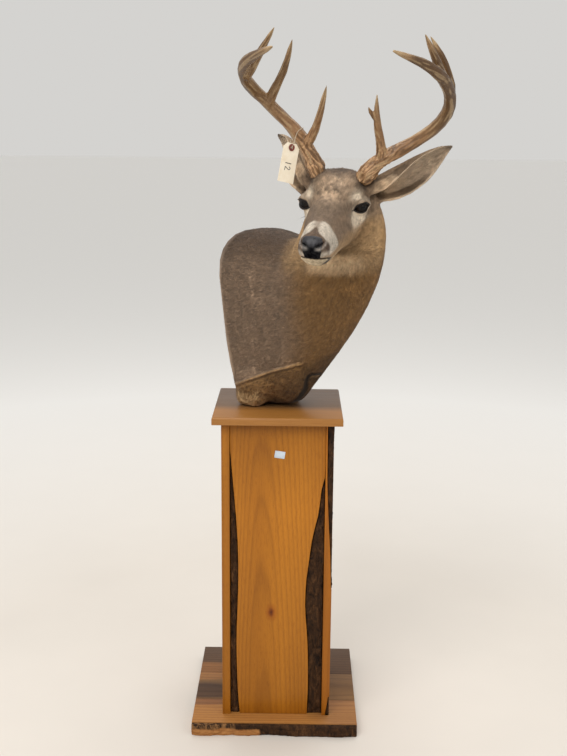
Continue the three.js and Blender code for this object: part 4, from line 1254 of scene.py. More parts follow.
@dataclass
class Skin:
    """The bare hide under the coat: one surface over head, neck, trunk, ears and foreleg stumps."""

    voxel: float = 0.0019
    kept: float = 0.32
    most_triangles: int = 190000
    markings: Markings = field(default_factory=Markings)

    def build(self) -> bpy.types.Object:
        """Fuses, smooths and models the skin.

        Returns:
            The skin, painted but not yet dressed.
        """
        skin = fused(copied_solids("skin", [*FLESH, "eye_left", "eye_right"], 0.4 * MM), self.voxel)
        points = read_vectors(skin.data)
        local = HEAD.local(points)
        head = head_share(local)
        ears, _ = ear_share(points)
        solid = BVHTree.FromPolygons(points.tolist(), triangles_of(skin.data).tolist())
        edges = read_edges(skin.data)
        rim = 1.0 - ramp(BODY.local(points)[:, 0], 60, 12) * 0.8
        points = relax(points, edges, 0.62 * (1 - np.maximum(head, ears)) * rim, 150)
        front = ramp(local[:, 0], 130, 165)
        points = relax(points, edges, 0.6 * np.maximum(head, 0.25) * (1 - ears) * (1 - 0.75 * front), 30)
        points = relax(points, edges, 0.6 * ears, 16, keep=True)
        points = relax(points, edges, 0.5 * ears, 5)
        write_points(skin.data, points)
        normals = read_vectors(skin.data, "normal")
        lost = self.lost(points, normals, solid, edges)
        write_points(skin.data, points + normals * (lost * (1 - ears) - fur_depth(points) * MM)[:, None])
        near = np.maximum(*seams(BODY.local(read_vectors(skin.data))))
        self.thin_out(skin, (1.0 - np.maximum(head, ears)) * ramp(near, 0.2, 0.02), self.kept)
        self.refine(skin)
        self.model_head(skin)
        self.colour(skin)
        return skin

    @staticmethod
    def lost(points: np.ndarray, normals: np.ndarray, solid: BVHTree, edges: np.ndarray) -> np.ndarray:
        """How far smoothing has drawn the skin in, evened out so that it can be given back.

        Args:
            points: the smoothed rows.
            normals: their normals.
            solid: the surface before smoothing.
            edges: vertex pairs.

        Returns:
            A distance in metres for each row.
        """
        apart = np.zeros(len(points))
        for i, point in enumerate(points):
            spot, _, _, _ = solid.find_nearest(point)
            apart[i] = (np.array(spot) - point) @ normals[i]
        rows = np.stack([np.clip(apart, -0.006, 0.012)] * 3, 1)
        return relax(rows, edges, np.full(len(points), 0.7), 80)[:, 0]

    def lighten(self, skin: bpy.types.Object) -> None:
        """Brings the modelled skin down to the triangles that one piece may have, and paints it again."""
        near = np.maximum(*seams(BODY.local(read_vectors(skin.data))))
        self.thin_out(skin, ramp(near, 0.2, 0.02), self.most_triangles / len(triangles_of(skin.data)))
        self.colour(skin)

    @staticmethod
    def thin_out(skin: bpy.types.Object, weights: np.ndarray, kept: float) -> None:
        """Uses larger faces on the plain places.

        Args:
            skin: the skin.
            weights: how plain the skin is at each vertex, from 0 for untouched to 1.
            kept: share of the triangles that stays.
        """
        group = skin.vertex_groups.new(name="plain")
        for level in range(1, 11):
            rows = np.nonzero(np.ceil(weights * 10) == level)[0]
            group.add(rows.tolist(), level / 10, "REPLACE")
        thin = skin.modifiers.new("thin", "DECIMATE")
        thin.ratio = kept
        thin.vertex_group = "plain"
        thin.vertex_group_factor = 1.0
        finished(skin)
        skin.vertex_groups.clear()

    def refine(self, skin: bpy.types.Object) -> None:
        """Splits faces where lids, nostrils and lips need them."""
        mesh = bmesh.new()
        mesh.from_mesh(skin.data)
        for reach in (27.0, 21.0):
            rows = np.array([v.co for v in mesh.verts], float)
            near = self.detail_zone(rows, reach)
            chosen = [e for e in mesh.edges if near[e.verts[0].index] and near[e.verts[1].index]]
            bmesh.ops.subdivide_edges(mesh, edges=chosen, cuts=1, use_grid_fill=True)
            bmesh.ops.triangulate(mesh, faces=[f for f in mesh.faces if len(f.verts) > 4])
            mesh.verts.index_update()
        mesh.to_mesh(skin.data)
        mesh.free()
        points = read_vectors(skin.data)
        near = self.detail_zone(points, 30.0).astype(float)
        write_points(skin.data, relax(points, read_edges(skin.data), 0.5 * near, 4))

    def detail_zone(self, points: np.ndarray, reach: float) -> np.ndarray:
        """Which points lie near an eye, or on the nose and lips.

        Args:
            points: rows in the row frame.
            reach: how far from an eye, in millimetres.

        Returns:
            True for each row in a zone. The stumps' seams are only part of the widest zones.
        """
        local = HEAD.local(points)
        near = np.zeros(len(points), bool)
        for eye in EYES.values():
            place = eye.local(points)
            near |= (np.hypot(place[:, 0], place[:, 1]) < reach) & (place[:, 2] > -8)
        ahead, up = local[:, 0], local[:, 2]
        near |= (ahead > 176 - (reach - 21) * 2) & (up > -40)
        if reach > 24.0:
            near |= np.maximum(*seams(BODY.local(points))) > 0.42
        return near | ((np.abs(up - self.mouth_height(ahead)) < reach / 3) & (ahead > 110))

    @staticmethod
    def mouth_height(ahead: np.ndarray) -> np.ndarray:
        """Height of the mouth line in the head's frame."""
        return np.interp(ahead, [95, 105, 130, 160, 184, 198, 210], [-52, -51, -50, -44, -32.5, -28.5, -27.5])

    def model_head(self, skin: bpy.types.Object) -> None:
        """Models lids, mouth, nostrils and brow."""
        points = read_vectors(skin.data)
        for eye in EYES.values():
            points = self.lids(points, eye)
        points = self.folds(points, read_vectors(skin.data, "normal"))
        write_points(skin.data, points)
        points = self.mouth(points, read_vectors(skin.data, "normal"))
        write_points(skin.data, points)
        points = self.nose(points, read_vectors(skin.data, "normal"))
        write_points(skin.data, points)

    def folds(self, points: np.ndarray, normals: np.ndarray) -> np.ndarray:
        """Raises the stumps' fold, presses their creases in and fills the hide up round the antlers."""
        body = BODY.local(points)
        ahead, left, height = body.T
        out = np.abs(left + 2)
        line = fold_gap(body)
        on = ramp(ahead, 4, 20) * ramp(ahead - out, 150, 134) * ramp(out, 18, 34)
        depth = 3.0 * hill(line, 0.0, 3.4) * on
        depth -= 1.6 * hill(line, 7.0, 3.6) * on + 2.4 * hill(line, -6.0, 3.4) * on
        depth += 9.0 * blob(body, (148, -4, 818), (30, 28, 24), False) - 3.0 * crease(body)
        depth -= 3.0 * hill(height, brisket_line(ahead), 5.0) * ramp(ahead, 70, 80) * ramp(ahead, 132, 110)
        local = HEAD.local(points)
        depth += 13.0 * blob(local, (-46, 50, 62), (25, 26, 20))
        depth += 9.0 * blob(local, (-30, 50, 64), (16, 17, 15))
        wide = np.tanh(local[:, 1] / 16) * np.where(local[:, 1] < 0, 3.6, 1.4) * ramp(local[:, 0], 95, 160)
        wide += np.where(local[:, 1] < 0, -3.6, 0.6) * blob(local, (-6, 62, 0), (42, 40, 34))
        push = HEAD.rows[1] * (wide * MM)[:, None]
        return points + normals * (depth * MM)[:, None] + push

    def lids(self, points: np.ndarray, eye: EyeSocket) -> np.ndarray:
        """Shapes both lids over the eyeball, with the almond opening between them.

        Args:
            points: the skin's rows.
            eye: which eye.

        Returns:
            The new rows.
        """
        place = eye.local(points)
        x, y, z = place.T
        reach = np.hypot(x, y)
        on = (reach < 34) & (z > -12)
        beyond = eye.beyond(place)
        ball = np.sqrt(np.maximum(eye.radius_mm ** 2 - reach ** 2, 0.0))
        shell = np.sqrt(np.maximum((eye.radius_mm + eye.lid) ** 2 - reach ** 2, 7.0 ** 2))
        above = ramp(y, -2, 4)
        roll = eye.roll * hill(beyond, 3.0, 2.6) * (0.55 + 0.45 * above)
        crease = -1.6 * hill(beyond, 8.2, 1.6) * above
        lid = shell + roll * 0.5 + crease
        edge = ramp(beyond, -0.4, 0.8)
        inner = np.minimum(ball - 2.6, 11.0)
        target = inner * (1 - edge) + lid * edge
        blend = ramp(beyond, 11.5, 4.0) * on
        duct = hill(y, -0.12 * (x - 17), 1.1) * ramp(x, 14, 17.5) * ramp(x, 27, 20)
        target -= 2.4 * duct
        moved = place.copy()
        moved[:, 2] = z + blend * (target - z) - 1.5 * duct * on * (1 - blend)
        return points + (moved - place) @ eye.rows * MM

    def mouth(self, points: np.ndarray, normals: np.ndarray) -> np.ndarray:
        """Presses the mouth line in and rounds the lips on both sides of it."""
        ahead, _, up = HEAD.local(points).T
        line = self.mouth_height(ahead)
        on = ramp(ahead, 100, 116)
        depth = -3.2 * hill(up, line, 1.5) + 0.9 * hill(up, line + 4.2, 2.6) + 0.6 * hill(up, line - 4.5, 3.0)
        return points + normals * (depth * on * MM)[:, None]

    def nose(self, points: np.ndarray, normals: np.ndarray) -> np.ndarray:
        """Hollows the nostrils, the groove between them and the lip below."""
        local = HEAD.local(points)
        ahead, left, up = local.T
        comma = self.nostril(local)
        rim = self.nostril(local, 2.1) - comma
        depth = -7.5 * comma + 0.9 * rim * ramp(up, -14, 4)
        front = ramp(ahead, 190, 197)
        depth -= 1.2 * hill(left, 0, 1.6) * front * ramp(up, 6, -6)
        depth += 0.7 * blob(local, (200, 7.5, 6), (9, 6, 7))
        return points + normals * (depth * MM)[:, None]

    @staticmethod
    def nostril(local: np.ndarray, grow: float = 1.0) -> np.ndarray:
        """Weight of the comma-shaped nostrils."""
        path = np.array([[203, 11.5, 0.5], [201, 15, 1.5], [198, 18.5, 2.5], [193.5, 22, 3.5],
                         [189, 24.5, 6]], float)
        radius = np.array([2.6, 3.2, 3.0, 2.3, 1.5]) * grow
        total = np.zeros(len(local))
        for start, end, r0, r1 in zip(path[:-1], path[1:], radius[:-1], radius[1:]):
            for t in (0.0, 0.5):
                spot = start + t * (end - start)
                size = r0 + t * (r1 - r0)
                total = np.maximum(total, blob(local, tuple(spot), (size * 1.3,) * 3))
        return total

    def colour(self, skin: bpy.types.Object) -> None:
        """Paints the skin with the coat's markings, black lids and the bare nose."""
        points = read_vectors(skin.data)
        colours = self.markings.at(points, read_vectors(skin.data, "normal"))
        paint(skin.data, eye_rims(points, colours, self.markings))


def eye_rims(points: np.ndarray, colours: np.ndarray, markings: Markings) -> np.ndarray:
    """Adds the pale ring round each eye and the black lid edges.

    Args:
        points: rows in the row frame.
        colours: their colours so far.
        markings: the coat's colours.

    Returns:
        The new colours.
    """
    for eye in EYES.values():
        place = eye.local(points)
        x, y, z = place.T
        beyond = eye.beyond(place)
        on = (np.hypot(x, y) < 32) * (z > -6)
        pale = ramp(beyond, 2.5, 6.0) * ramp(beyond, 11.5, 7.0) * (0.25 + 0.5 * ramp(-y, -2, 6))
        colours = mix(colours, markings.cream, pale * on)
        tear = hill(y, -0.12 * (x - 17), 2.2) * ramp(x, 14, 18) * ramp(x, 31, 23)
        dark = np.maximum(ramp(beyond, 4.2, 2.6), tear * 0.85)
        colours = mix(colours, markings.black, dark * on)
    return colours


class Zone(Enum):
    """Part of the coat: its name, its number of tufts, and their length, width and lift in millimetres."""

    FACE = ("face", 68000, 5.6, 0.66, 0.5)
    CROWN = ("crown", 20000, 9.0, 0.8, 1.5)
    NECK = ("neck", 104000, 9.5, 0.85, 1.2)
    TRUNK = ("trunk", 112000, 10.5, 0.92, 1.35)
    LEGS = ("legs", 18000, 9.0, 1.0, 1.0)
    EARS = ("ears", 32000, 7.5, 0.75, 0.6)

    def __init__(self, label: str, count: int, length: float, width: float, lift: float) -> None:
        """Keeps the zone's values by name."""
        self.label = label
        self.count = count
        self.length = length
        self.width = width
        self.lift = lift


def zone_weights(points: np.ndarray) -> dict[Zone, np.ndarray]:
    """How much each point belongs to each zone of the coat."""
    local = HEAD.local(points)
    number, _, _ = SECTIONS.place(BODY.local(points))
    ears, _ = ear_share(points)
    head = ramp(local[:, 0], -100, -76) * ramp(local[:, 2], -118, -96) * (1 - ears)
    crown = head * ramp(local[:, 0], 52, 28) * ramp(local[:, 2], 22, 40)
    legs = ramp(points[:, 2] / MM, 880, 856) * (1 - head)
    neck = (1 - head) * (1 - ears) * ramp(number, 3.4, 3.8) * (1 - legs)
    return {Zone.FACE: head - crown, Zone.CROWN: crown, Zone.NECK: neck, Zone.LEGS: legs,
            Zone.TRUNK: (1 - head) * (1 - ears) * (1 - neck) * (1 - legs), Zone.EARS: ears * (1 - legs)}


@dataclass
class Coat:
    """Tufts of hair laid over the skin, each a thin closed blade, in pieces by zone."""

    skin: bpy.types.Object
    markings: Markings = field(default_factory=Markings)
    blades_in_piece: int = 49000

    def __post_init__(self) -> None:
        """Reads the skin once for all zones."""
        self.points = read_vectors(self.skin.data)
        self.normals = read_vectors(self.skin.data, "normal")
        self.faces = triangles_of(self.skin.data)
        self.tree = BVHTree.FromPolygons(self.points.tolist(), self.faces.tolist())
        corner = self.points[self.faces]
        across = np.cross(corner[:, 1] - corner[:, 0], corner[:, 2] - corner[:, 0])
        self.area = np.linalg.norm(across, axis=1) / 2
        self.middle = corner.mean(1)
        self.weights = zone_weights(self.middle)
        self.draw = np.random.default_rng(SEED)
        self.shape, self.shape_faces = self.blade()

    def blade(self) -> tuple[np.ndarray, np.ndarray]:
        """One blade as a three-sided cone from (0,0,0) along +X, 1 long and 1 wide.

        Returns:
            Its points and its triangles.
        """
        cone = bmesh.new()
        bmesh.ops.create_cone(cone, cap_ends=True, segments=3, radius1=0.5, radius2=0.0, depth=1.0)
        bmesh.ops.rotate(cone, verts=cone.verts, matrix=Matrix.Rotation(math.pi / 2, 3, "Y"))
        bmesh.ops.translate(cone, verts=cone.verts, vec=(0.5, 0, 0))
        bmesh.ops.remove_doubles(cone, verts=cone.verts, dist=1e-5)
        bmesh.ops.triangulate(cone, faces=cone.faces)
        bmesh.ops.recalc_face_normals(cone, faces=cone.faces)
        points = np.array([v.co for v in cone.verts], float)
        faces = np.array([[v.index for v in f.verts] for f in cone.faces], int)
        cone.free()
        return points, faces

    def dress_all(self, finish: bpy.types.Material) -> None:
        """Grows every zone's tufts."""
        for zone in Zone:
            roots, normals, ears = self.sow(zone)
            order = np.argsort(SECTIONS.place(BODY.local(roots))[1] if zone is not Zone.EARS else roots[:, 0])
            parts = max(1, math.ceil(len(roots) / self.blades_in_piece))
            for i, rows in enumerate(np.array_split(order, parts)):
                name = f"coat_{zone.label}" + (f"_{i + 1}" if parts > 1 else "")
                piece = self.grow(name, zone, roots[rows], normals[rows], ears[rows])
                dress(piece, [], finish)

    def sow(self, zone: Zone) -> tuple[np.ndarray, np.ndarray, np.ndarray]:
        """Scatters a zone's roots evenly over its skin.

        Args:
            zone: which zone.

        Returns:
            Roots, skin normals, and how far each lies inside an ear's cup.
        """
        share = self.area * self.weights[zone]
        chosen = self.draw.choice(len(share), zone.count, p=share / share.sum())
        a, b = self.draw.random((2, zone.count))
        flip = a + b > 1
        a, b = np.where(flip, 1 - a, a), np.where(flip, 1 - b, b)
        weights = np.stack([1 - a - b, a, b], 1)[:, :, None]
        roots = (self.points[self.faces[chosen]] * weights).sum(1)
        normals = unit((self.normals[self.faces[chosen]] * weights).sum(1))
        keep = self.hairy(roots)
        roots, normals = roots[keep], normals[keep]
        cup = np.zeros(len(roots))
        if zone is Zone.EARS:
            for side, ear in EARS.items():
                own = HEAD.local(roots)[:, 1] * side > 0
                cup = np.maximum(cup, ramp((normals @ HEAD.rows.T) @ ear.opening, 0.1, 0.4) * own)
        return roots, normals, cup

    def hairy(self, roots: np.ndarray) -> np.ndarray:
        """Which roots are on haired skin, not on nose, lids, lips or the flat back."""
        local = HEAD.local(roots)
        keep = self.markings.nose_share(local) < 0.25
        keep &= blob(local, (197, 21, 3), (8, 8, 5)) < 0.3
        keep &= Skin.nostril(local, 1.2) < 0.4
        for eye in EYES.values():
            place = eye.local(roots)
            near = (np.hypot(place[:, 0], place[:, 1]) < 30) & (place[:, 2] > -6)
            keep &= ~(near & (eye.beyond(place) < 3.4))
        keep &= crease(BODY.local(roots)) < 0.5
        line = Skin.mouth_height(local[:, 0])
        keep &= ~((np.abs(local[:, 2] - line) < 2.4) & (local[:, 0] > 104))
        return keep & (BODY.local(roots)[:, 0] > 3.0)

    def grow(self, name: str, zone: Zone, roots: np.ndarray, normals: np.ndarray,
             cup: np.ndarray) -> bpy.types.Object:
        """Makes one piece of the coat.

        Args:
            name: its name.
            zone: the zone it belongs to.
            roots: where its tufts stand.
            normals: the skin's normals there.
            cup: how far each lies inside an ear's cup.

        Returns:
            The piece.
        """
        count = len(roots)
        length, width, lift = self.sizes(zone, roots, cup)
        flow = hair_flow(roots)
        flow = unit(flow - (flow * normals).sum(1, keepdims=True) * normals)
        side = np.cross(normals, flow)
        sway = Grain(SEED + 40).at(roots, 0.010) * 0.16 + self.draw.normal(0, 0.10, count)
        flow = unit(flow + side * sway[:, None])
        tips = self.laid(roots + flow * length[:, None], lift)
        base = roots - normals * (0.25 * MM)
        along = tips - base
        side = unit(np.cross(normals, along))
        over = unit(np.cross(along, side))
        piece = self.as_object(name, self.blades(base, along, side, over, width, 0.36), count)
        self.colour(piece, roots, normals)
        self.unwrap(piece, roots)
        return piece

    def blades(self, base: np.ndarray, along: np.ndarray, side: np.ndarray, over: np.ndarray,
               width: np.ndarray, flatness: float) -> np.ndarray:
        """Corners of one blade for each root.

        Args:
            base: where the blades start.
            along: from there to the tips.
            side: unit rows across the blades.
            over: unit rows through them.
            width: how wide they are.
            flatness: their thickness as a share of the width.

        Returns:
            All corners as rows.
        """
        shape = self.shape[None]
        wide = width[:, None, None]
        rows = (base[:, None] + along[:, None] * shape[:, :, 0:1] + side[:, None] * (shape[:, :, 1:2] * wide)
                + over[:, None] * (shape[:, :, 2:3] * flatness * wide))
        return rows.reshape(-1, 3)

    def sizes(self, zone: Zone, roots: np.ndarray,
              cup: np.ndarray) -> tuple[np.ndarray, np.ndarray, np.ndarray]:
        """Length, width and lift of each tuft in metres."""
        count = len(roots)
        length = zone.length * self.draw.uniform(0.72, 1.18, count)
        width = zone.width * self.draw.uniform(0.75, 1.25, count)
        lift = zone.lift * self.draw.uniform(0.5, 1.5, count)
        local = HEAD.local(roots)
        if zone is Zone.FACE:
            short = ramp(local[:, 0], 60, 150)
            length *= 1 - 0.42 * short
            lift *= 1 - 0.4 * short
            length *= 1 + 0.6 * ramp(local[:, 2], -50, -90)
            eye = np.zeros(count)
            for socket in EYES.values():
                place = socket.local(roots)
                eye = np.maximum(eye, ramp(np.hypot(place[:, 0], place[:, 1]), 32, 20))
            length *= 1 - 0.5 * eye
        if zone in (Zone.TRUNK, Zone.NECK, Zone.LEGS):
            lift *= 1 + 0.5 * Grain(SEED + 23).at(roots, (0.0065, 0.0065, 0.0120))
            near = np.maximum(*seams(BODY.local(roots)))
            length *= 1 - 0.55 * near
            lift *= 1 - 0.6 * near
        rim = ramp(BODY.local(roots)[:, 0], 16, 5)
        lift *= 1 + 1.8 * rim * self.draw.random(count)
        if zone is Zone.CROWN:
            clump = Grain(SEED + 24).at(roots, 0.006)
            lift *= 1 + 3.4 * blob(local, (-50, 50, 66), (30, 28, 30)) + 1.2 * np.clip(clump, -0.6, 1.0)
            length *= 1 + 0.8 * blob(local, (-50, 50, 66), (30, 28, 30))
        if zone is Zone.EARS:
            length *= 1 + 0.6 * cup
            lift *= 1 + 1.2 * cup * self.draw.random(count)
        return length * MM, width * MM, lift * MM

    def laid(self, tips: np.ndarray, lift: np.ndarray) -> np.ndarray:
        """Brings each tip to its height above the skin."""
        laid = tips.copy()
        for i, tip in enumerate(tips):
            spot, normal, _, _ = self.tree.find_nearest(tip)
            laid[i] = spot + normal * lift[i]
        return laid

    def as_object(self, name: str, points: np.ndarray, count: int) -> bpy.types.Object:
        """A mesh of many copies of the blade."""
        corners = len(self.shape)
        faces = (self.shape_faces[None] + (np.arange(count) * corners)[:, None, None]).reshape(-1, 3)
        mesh = bpy.data.meshes.new(name)
        mesh.vertices.add(len(points))
        mesh.vertices.foreach_set("co", points.astype(np.float32).ravel())
        mesh.loops.add(faces.size)
        mesh.loops.foreach_set("vertex_index", faces.astype(np.int32).ravel())
        mesh.polygons.add(len(faces))
        mesh.polygons.foreach_set("loop_start", np.arange(0, faces.size, 3, dtype=np.int32))
        mesh.update(calc_edges=True)
        mesh.validate()
        return new_object(name, mesh)

    def colour(self, piece: bpy.types.Object, roots: np.ndarray, normals: np.ndarray) -> None:
        """Paints each tuft with the marking at its root, darker at its root end as painted shade and lighter at
        its tip.
        """
        count = len(roots)
        colours = eye_rims(roots, self.markings.at(roots, normals), self.markings)
        colours = colours * self.draw.uniform(0.80, 1.20, count)[:, None]
        tip = np.clip(colours * self.draw.uniform(0.95, 1.35, count)[:, None], 0, 1)
        # The root ends are darkened as painted shade among the tufts.
        rows = np.repeat(colours[:, None] * 0.82, len(self.shape), 1)
        rows[:, np.argmax(self.shape[:, 0])] = tip
        paint(piece.data, rows.reshape(-1, 3))

    def unwrap(self, piece: bpy.types.Object, roots: np.ndarray) -> None:
        """Lays each tuft's patch at its root's place on an unwrap of the skin round its own middle line."""
        number, angle, _ = SECTIONS.place(BODY.local(roots))
        local = HEAD.local(roots)
        head = local[:, 0] > -90
        along = np.where(head, 0.62 + 0.3 * (local[:, 0] + 90) / 300, number / 10 * 0.55)
        round_ = np.where(head, np.arctan2(local[:, 1], local[:, 2] + 30), angle)
        centre = np.stack([0.5 + round_ / (2 * math.pi) * 0.96, 0.03 + along], 1)
        layout = piece.data.uv_layers.new(name=BAKE_MAP)
        flat = self.shape[self.shape_faces.ravel()][:, [0, 1]] - (0.5, 0.0)
        rows = centre[:, None] + flat[None] * PATCH
        layout.data.foreach_set("uv", np.clip(rows, 0.001, 0.999).astype(np.float32).ravel())


@dataclass(frozen=True)
class Hairs:
    """Lashes and whiskers: single stiff black hairs."""

    lashes: int = 46
    lash_length: float = 9.0
    whiskers: int = 26
    black: Colour = (0.012, 0.010, 0.009)

    def build(self, coat: Coat) -> bpy.types.Object:
        """Makes all lashes and whiskers as one piece."""
        roots, tips, widths = self.lash_rows()
        more = self.whisker_rows(coat)
        roots, tips = np.concatenate([roots, more[0]]), np.concatenate([tips, more[1]])
        widths = np.concatenate([widths, more[2]])
        along = tips - roots
        side = unit(np.cross(along, np.array([0.1, 0.2, 1.0])))
        over = unit(np.cross(along, side))
        corners = coat.blades(roots, along, side, over, widths, 1.0)
        piece = coat.as_object("lashes_and_whiskers", corners, len(roots))
        paint(piece.data, np.tile(np.array(self.black), (len(corners), 1)))
        coat.unwrap(piece, roots)
        return piece

    def lash_rows(self) -> tuple[np.ndarray, np.ndarray, np.ndarray]:
        """Roots, tips and widths of the upper lids' lashes."""
        roots, tips = [], []
        draw = np.random.default_rng(SEED + 3)
        for eye in EYES.values():
            for i in range(self.lashes):
                x = -15.0 + 27.0 * (i + draw.uniform(0, 1)) / self.lashes
                y = eye.rise * (1 - (x / eye.half_length) ** 2) + 0.6
                z = math.sqrt(max((eye.radius_mm + eye.lid) ** 2 - x * x - y * y, 49.0)) + 0.4
                arch = 0.65 + 0.5 * math.sin(math.pi * (x + 17) / 30)
                length = self.lash_length * arch * draw.uniform(0.8, 1.15)
                sideways = -0.35 + x * 0.018 + draw.uniform(-0.1, 0.1)
                lean = np.array([sideways, 0.12 + draw.uniform(-0.12, 0.12), 1.0])
                root = np.array([x, y, z])
                tip = root + lean / np.linalg.norm(lean) * length
                roots.append(eye.centre + root @ eye.rows * MM)
                tips.append(eye.centre + tip @ eye.rows * MM)
        return np.array(roots), np.array(tips), np.full(len(roots), 0.45 * MM)

    def whisker_rows(self, coat: Coat) -> tuple[np.ndarray, np.ndarray, np.ndarray]:
        """Roots, tips and widths of the whiskers on muzzle, chin and below the eyes."""
        roots, tips = [], []
        draw = np.random.default_rng(SEED + 4)
        for i in range(self.whiskers):
            side = 1 if i % 2 else -1
            if i % 3 == 0:
                spot = np.array([150 + draw.uniform(-14, 16), side * draw.uniform(4, 20), -62.0])
            elif i % 3 == 1:
                spot = np.array([176 + draw.uniform(-18, 10), side * 34.0, draw.uniform(-26, -8)])
            else:
                spot = np.array([draw.uniform(-4, 26), side * 72.0, draw.uniform(-34, -22)])
            spot, normal, _, _ = coat.tree.find_nearest(HEAD.world(spot[None])[0])
            root = np.array(spot)
            backwards = HEAD.turned(np.array([[-0.35, 0.0, -0.35]]))[0]
            lean = np.array(normal) + backwards + draw.normal(0, 0.15, 3)
            roots.append(root)
            tips.append(root + lean / np.linalg.norm(lean) * draw.uniform(14, 30) * MM)
        return np.array(roots), np.array(tips), np.full(len(roots), 0.36 * MM)


# ---------------------------------------------------------------------- eyes
@dataclass
class Eyeball:
    """A glass eye with a cornea that stands a little proud and a wide dark pupil."""

    socket: EyeSocket
    cornea: float = 0.7
    iris: float = 11.0
    rings: tuple = ((0.004, 0.003, 0.003), (0.014, 0.008, 0.005), (0.006, 0.004, 0.003))

    def build(self) -> bpy.types.Object:
        """Makes the eye."""
        ball = bmesh.new()
        bmesh.ops.create_uvsphere(ball, u_segments=64, v_segments=40, radius=self.socket.radius_mm)
        points = np.array([v.co for v in ball.verts], float)
        reach = np.hypot(points[:, 0], points[:, 1])
        front = points[:, 2] > 0
        swell = self.cornea * ramp(reach, self.iris, 2.0) * front
        points *= (1 - (0.1 + self.cornea - swell) / self.socket.radius_mm)[:, None]
        rows = self.socket.centre + points @ self.socket.rows * MM
        for vert, row in zip(ball.verts, rows):
            vert.co = row
        bmesh.ops.recalc_face_normals(ball, faces=ball.faces)
        name = "glass_eye_left" if self.socket.side > 0 else "glass_eye_right"
        mesh = bpy.data.meshes.new(name)
        ball.to_mesh(mesh)
        ball.free()
        pupil, iris, white = (np.array(c) for c in self.rings)
        reach = np.hypot(points[:, 0] * 0.72, points[:, 1] * 1.15)
        colours = mix(np.tile(pupil, (len(points), 1)), iris, ramp(reach, 5.0, 6.6))
        colours = mix(colours, white, ramp(np.hypot(points[:, 0], points[:, 1]), 11.5, 12.6))
        paint(mesh, mix(colours, white, 1.0 - front))
        return new_object(name, mesh)


# ---------------------------------------------------------------------- antlers
class BoneLine:
    """Middle line of one antler solid: a smooth curve along the solid's own length, with its radius."""

    def __init__(self, node: str) -> None:
        """Fits the curve to the solid's points.

        Args:
            node: the solid's node name.
        """
        points = read_vectors(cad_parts[node].data) / MM
        self.origin = points.mean(0)
        self.axis = np.linalg.svd(points - self.origin, full_matrices=False)[2][0]
        along = (points - self.origin) @ self.axis
        self.start, self.end = along.min(), along.max()
        self.curve = np.polyfit(along, points, 3)
        reach = np.linalg.norm(points - self.middle(along), axis=1)
        self.radius = np.polyfit(along, reach, 2)

    def middle(self, along: np.ndarray) -> np.ndarray:
        """Points of the curve."""
        return np.stack([np.polyval(self.curve[:, i], along) for i in range(3)], 1)

    def place(self, points: np.ndarray) -> tuple[np.ndarray, np.ndarray, np.ndarray, np.ndarray]:
        """Where points lie by this line.

        Args:
            points: rows in millimetres.

        Returns:
            The way along, the offset across, the radius there and how much each point belongs to the line.
        """
        along = np.clip((points - self.origin) @ self.axis, self.start, self.end)
        step = np.full(len(along), 0.5)
        ahead = unit(self.middle(along + step) - self.middle(along - step))
        offset = points - self.middle(along)
        slip = (offset * ahead).sum(1)
        across = offset - ahead * slip[:, None]
        radius = np.polyval(self.radius, along)
        apart = np.maximum(np.linalg.norm(offset, axis=1) - radius, 0.0)
        return along + slip, across, radius, np.exp(-((apart / 3.0) ** 2)) + 1e-9


